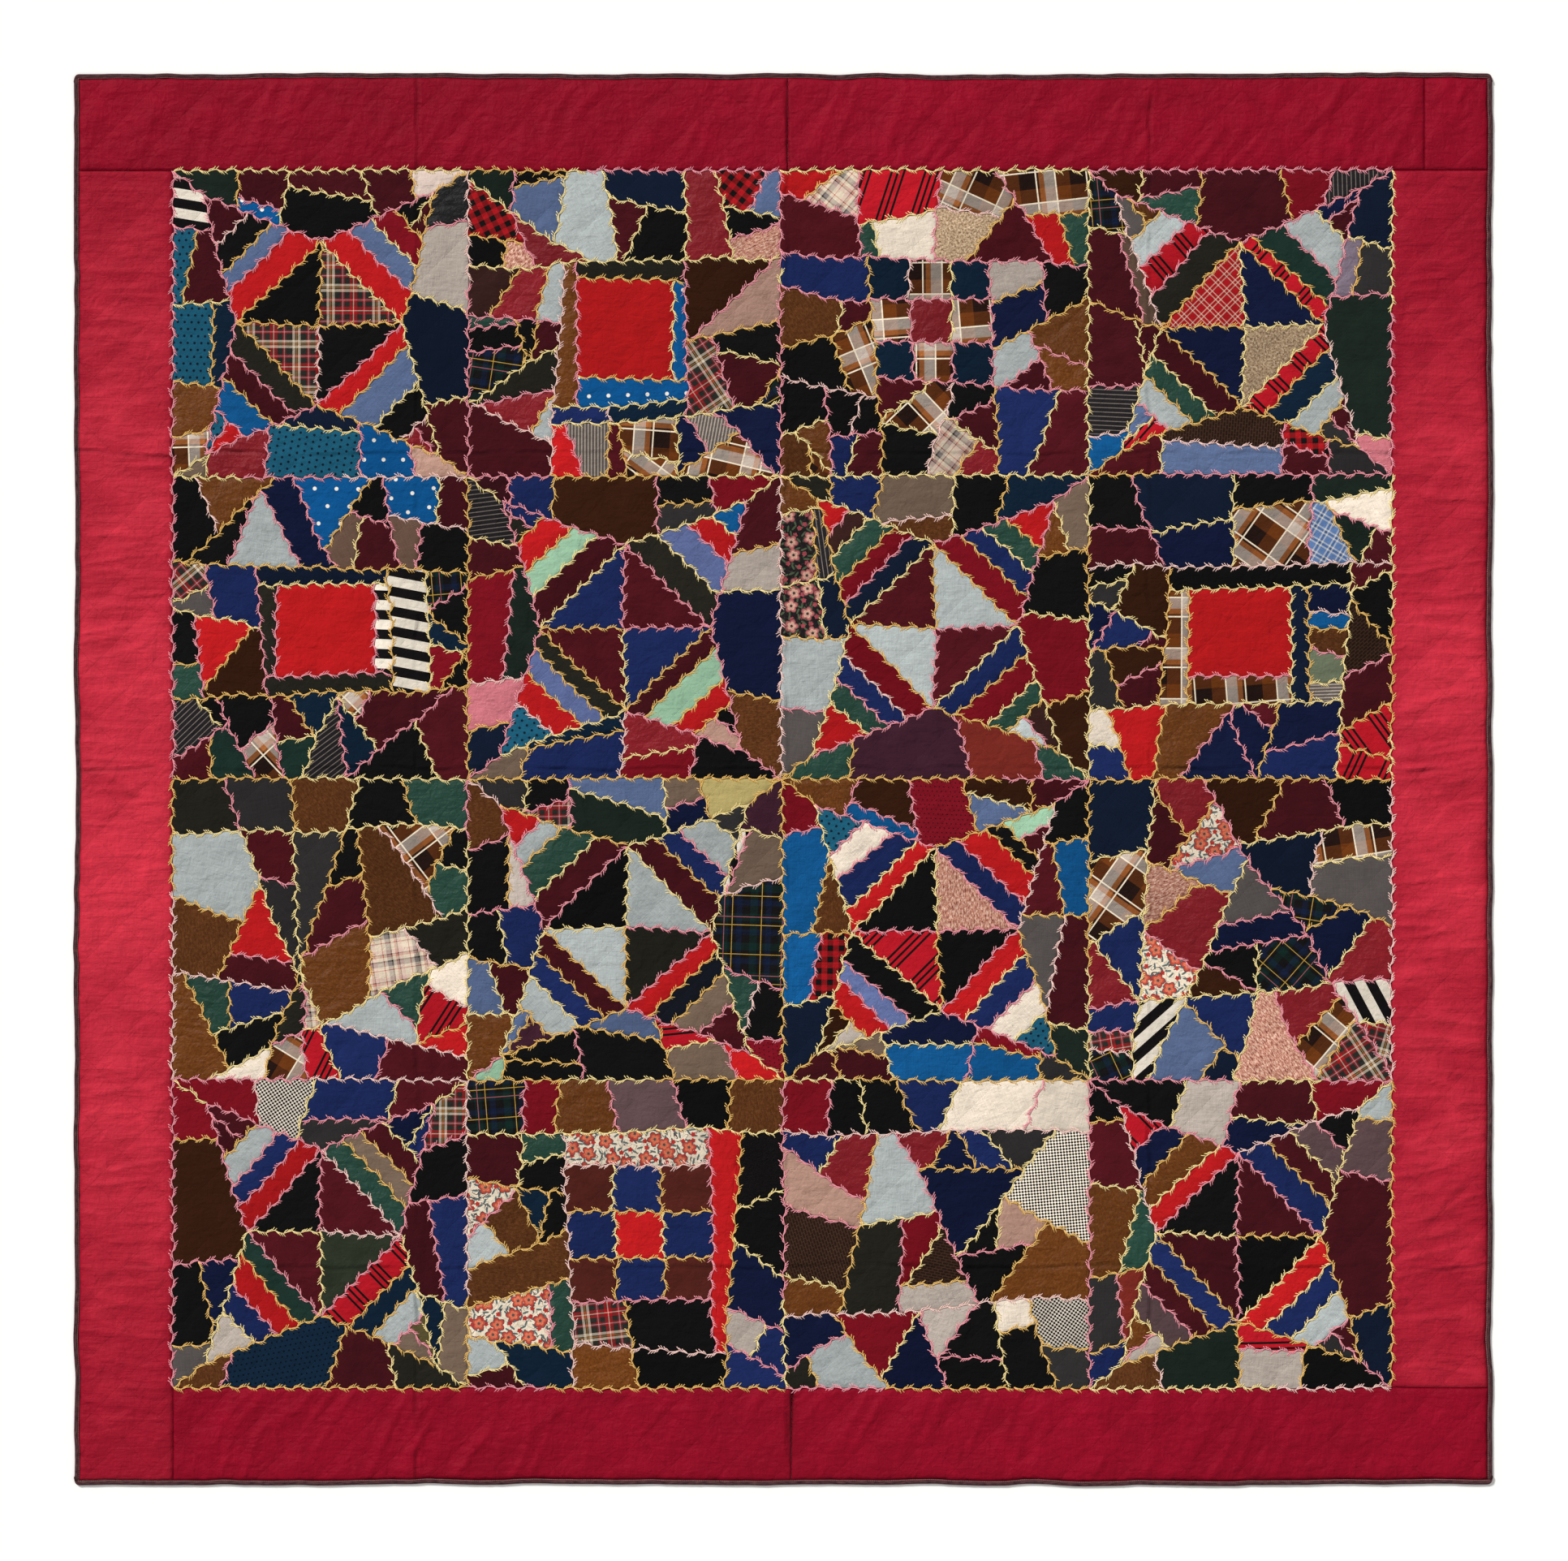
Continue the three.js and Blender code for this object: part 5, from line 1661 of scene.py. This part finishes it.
# One side's tape: the profile carried along the edge, with flat ends. At the ends of the upper and lower
# tape the edge draws in by a quarter circle. Soft noise makes the inner side and the top a little uneven.
def makeBinding(side):
    knots, reach, sign = edges[side]
    start, end = knots.min(), knots.max()
    count = int((end - start) / binding["step"]) + 1
    along = np.linspace(start + 0.1, end - 0.1, count)
    profile = np.array(binding["profile"])
    corner = np.zeros(count)
    if side in ("top", "bottom"):
        radius = binding["cornerRadius"]
        fine = start + 0.1 + radius * (1 - np.cos(np.linspace(0, math.pi / 2, 7)))
        along = np.concatenate([fine[:-1], along[(along > fine[-1]) & (along < start + end - fine[-1])],
                                (start + end - fine[:-1])[::-1]])
        count = len(along)
        near = np.clip(np.minimum(along - start, end - along), 0, radius)
        corner = radius - np.sqrt(np.maximum(radius ** 2 - (radius - near) ** 2, 0))
    narrowing = ((binding["width"] - corner) / binding["width"])[:, None]
    uneven = 0.22 * (softNoise(along / 9, np.full(count, 4.0), 91) - 0.5)[:, None] * (profile[:, 0] > 3)
    away = corner[:, None] + profile[None, :, 0] * narrowing + uneven
    lift = 0.5 * (softNoise(along / 7, np.full(count, 2.0), 92) - 0.5)[:, None] * (profile[:, 1] > 2)
    height = profile[None, :, 1] * (0.92 + 0.08 * narrowing) + lift
    outer = np.interp(along, knots, reach) - 0.25 + edgeRipple(side, along)
    edge = sign * outer[:, None] - sign * away
    lengthwise = np.repeat(along[:, None], len(profile), axis=1)
    pair = (lengthwise, edge) if side in ("top", "bottom") else (edge, lengthwise)
    points = np.dstack([*pair, np.minimum(height, binding["thickness"])]).reshape(-1, 3)
    index = np.arange(count * len(profile)).reshape(count, len(profile))
    before, after = index, np.roll(index, -1, axis=1)
    faces = np.stack([before[:-1], before[1:], after[1:], after[:-1]], axis=-1).reshape(-1, 4)
    flip = side in ("top", "left")
    faces = faces if flip else faces[:, ::-1]
    ends = np.stack([index[0], index[-1][::-1]])
    ends = ends if flip else ends[:, ::-1]
    around = np.repeat(np.arange(len(profile))[None, :] * binding["profileStep"], count, axis=0)
    flat = np.dstack([lengthwise, around]).reshape(-1, 2)
    sets = [(faces, np.zeros(len(faces), int), flat[faces]), (ends, np.zeros(2, int), flat[ends])]
    bake = []
    for _, _, uv in sets:
        u = (uv[..., 0] - start) / (end - start)
        v = uv[..., 1] / (binding["profileStep"] * len(profile))
        bake.append(np.stack([0.005 + 0.99 * u, 0.01 + 0.98 * v], axis=-1).reshape(-1, 2))
    piece = makePiece("tape_binding_" + side, points, sets, [clothMaterial("bindingTape")],
                      np.concatenate(bake), np.ones(len(points)))
    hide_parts("binding_" + side)
    return piece


for side in ("top", "bottom", "left", "right"):
    makeBinding(side)
print("binding ready")

# A loop over the blocks, which does nothing.
for (row, column), block in blocks.items():
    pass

studio = {
    "lens": 85.0,
    "cameraHigh": 4.562,
    "floorColour": (240, 239, 237),
    "skyStrength": 0.45,
    "keyStrength": 3.5,
    "fillStrength": 0.35,
}
scene = bpy.context.scene

floorMesh = bpy.data.meshes.new("floor")
floorMesh.from_pydata([(-30, -30, 0), (30, -30, 0), (30, 30, 0), (-30, 30, 0)], [], [(0, 1, 2, 3)])
floor = bpy.data.objects.new("floor", floorMesh)
scene.collection.objects.link(floor)
floorMaterial, _, floorShader = newMaterial("floor")
floorShader.inputs["Base Color"].default_value = colour(*studio["floorColour"])
floorShader.inputs["Roughness"].default_value = 0.9
floorMesh.materials.append(floorMaterial)


# A broad lamp far away, so that its light is even over the quilt. place is where it shines from.
def addLamp(name, place, softness, strength):
    lamp = bpy.data.lights.new(name, "SUN")
    lamp.energy, lamp.angle = strength, math.radians(softness)
    item = bpy.data.objects.new(name, lamp)
    item.location = place
    item.rotation_euler = (math.atan2(math.hypot(place[0], place[1]), place[2]), 0.0,
                           math.atan2(-place[1], -place[0]) - math.pi / 2)
    scene.collection.objects.link(item)


addLamp("keyLamp", (-1.9, 2.3, 2.2), 12.0, studio["keyStrength"])
addLamp("fillLamp", (2.0, -1.6, 3.2), 40.0, studio["fillStrength"])
scene.world = bpy.data.worlds.new("studio")
scene.world.use_nodes = True
sky = scene.world.node_tree.nodes["Background"].inputs
sky["Color"].default_value = (1.0, 0.985, 0.97, 1.0)
sky["Strength"].default_value = studio["skyStrength"]
scene.view_settings.view_transform = "Standard"

camera = bpy.data.objects.new("camera", bpy.data.cameras.new("camera"))
camera.data.lens = studio["lens"]
camera.data.sensor_width = 36.0
camera.location = (0.001, -0.0015, studio["cameraHigh"])
scene.collection.objects.link(camera)
scene.camera = camera

print("scene ready")
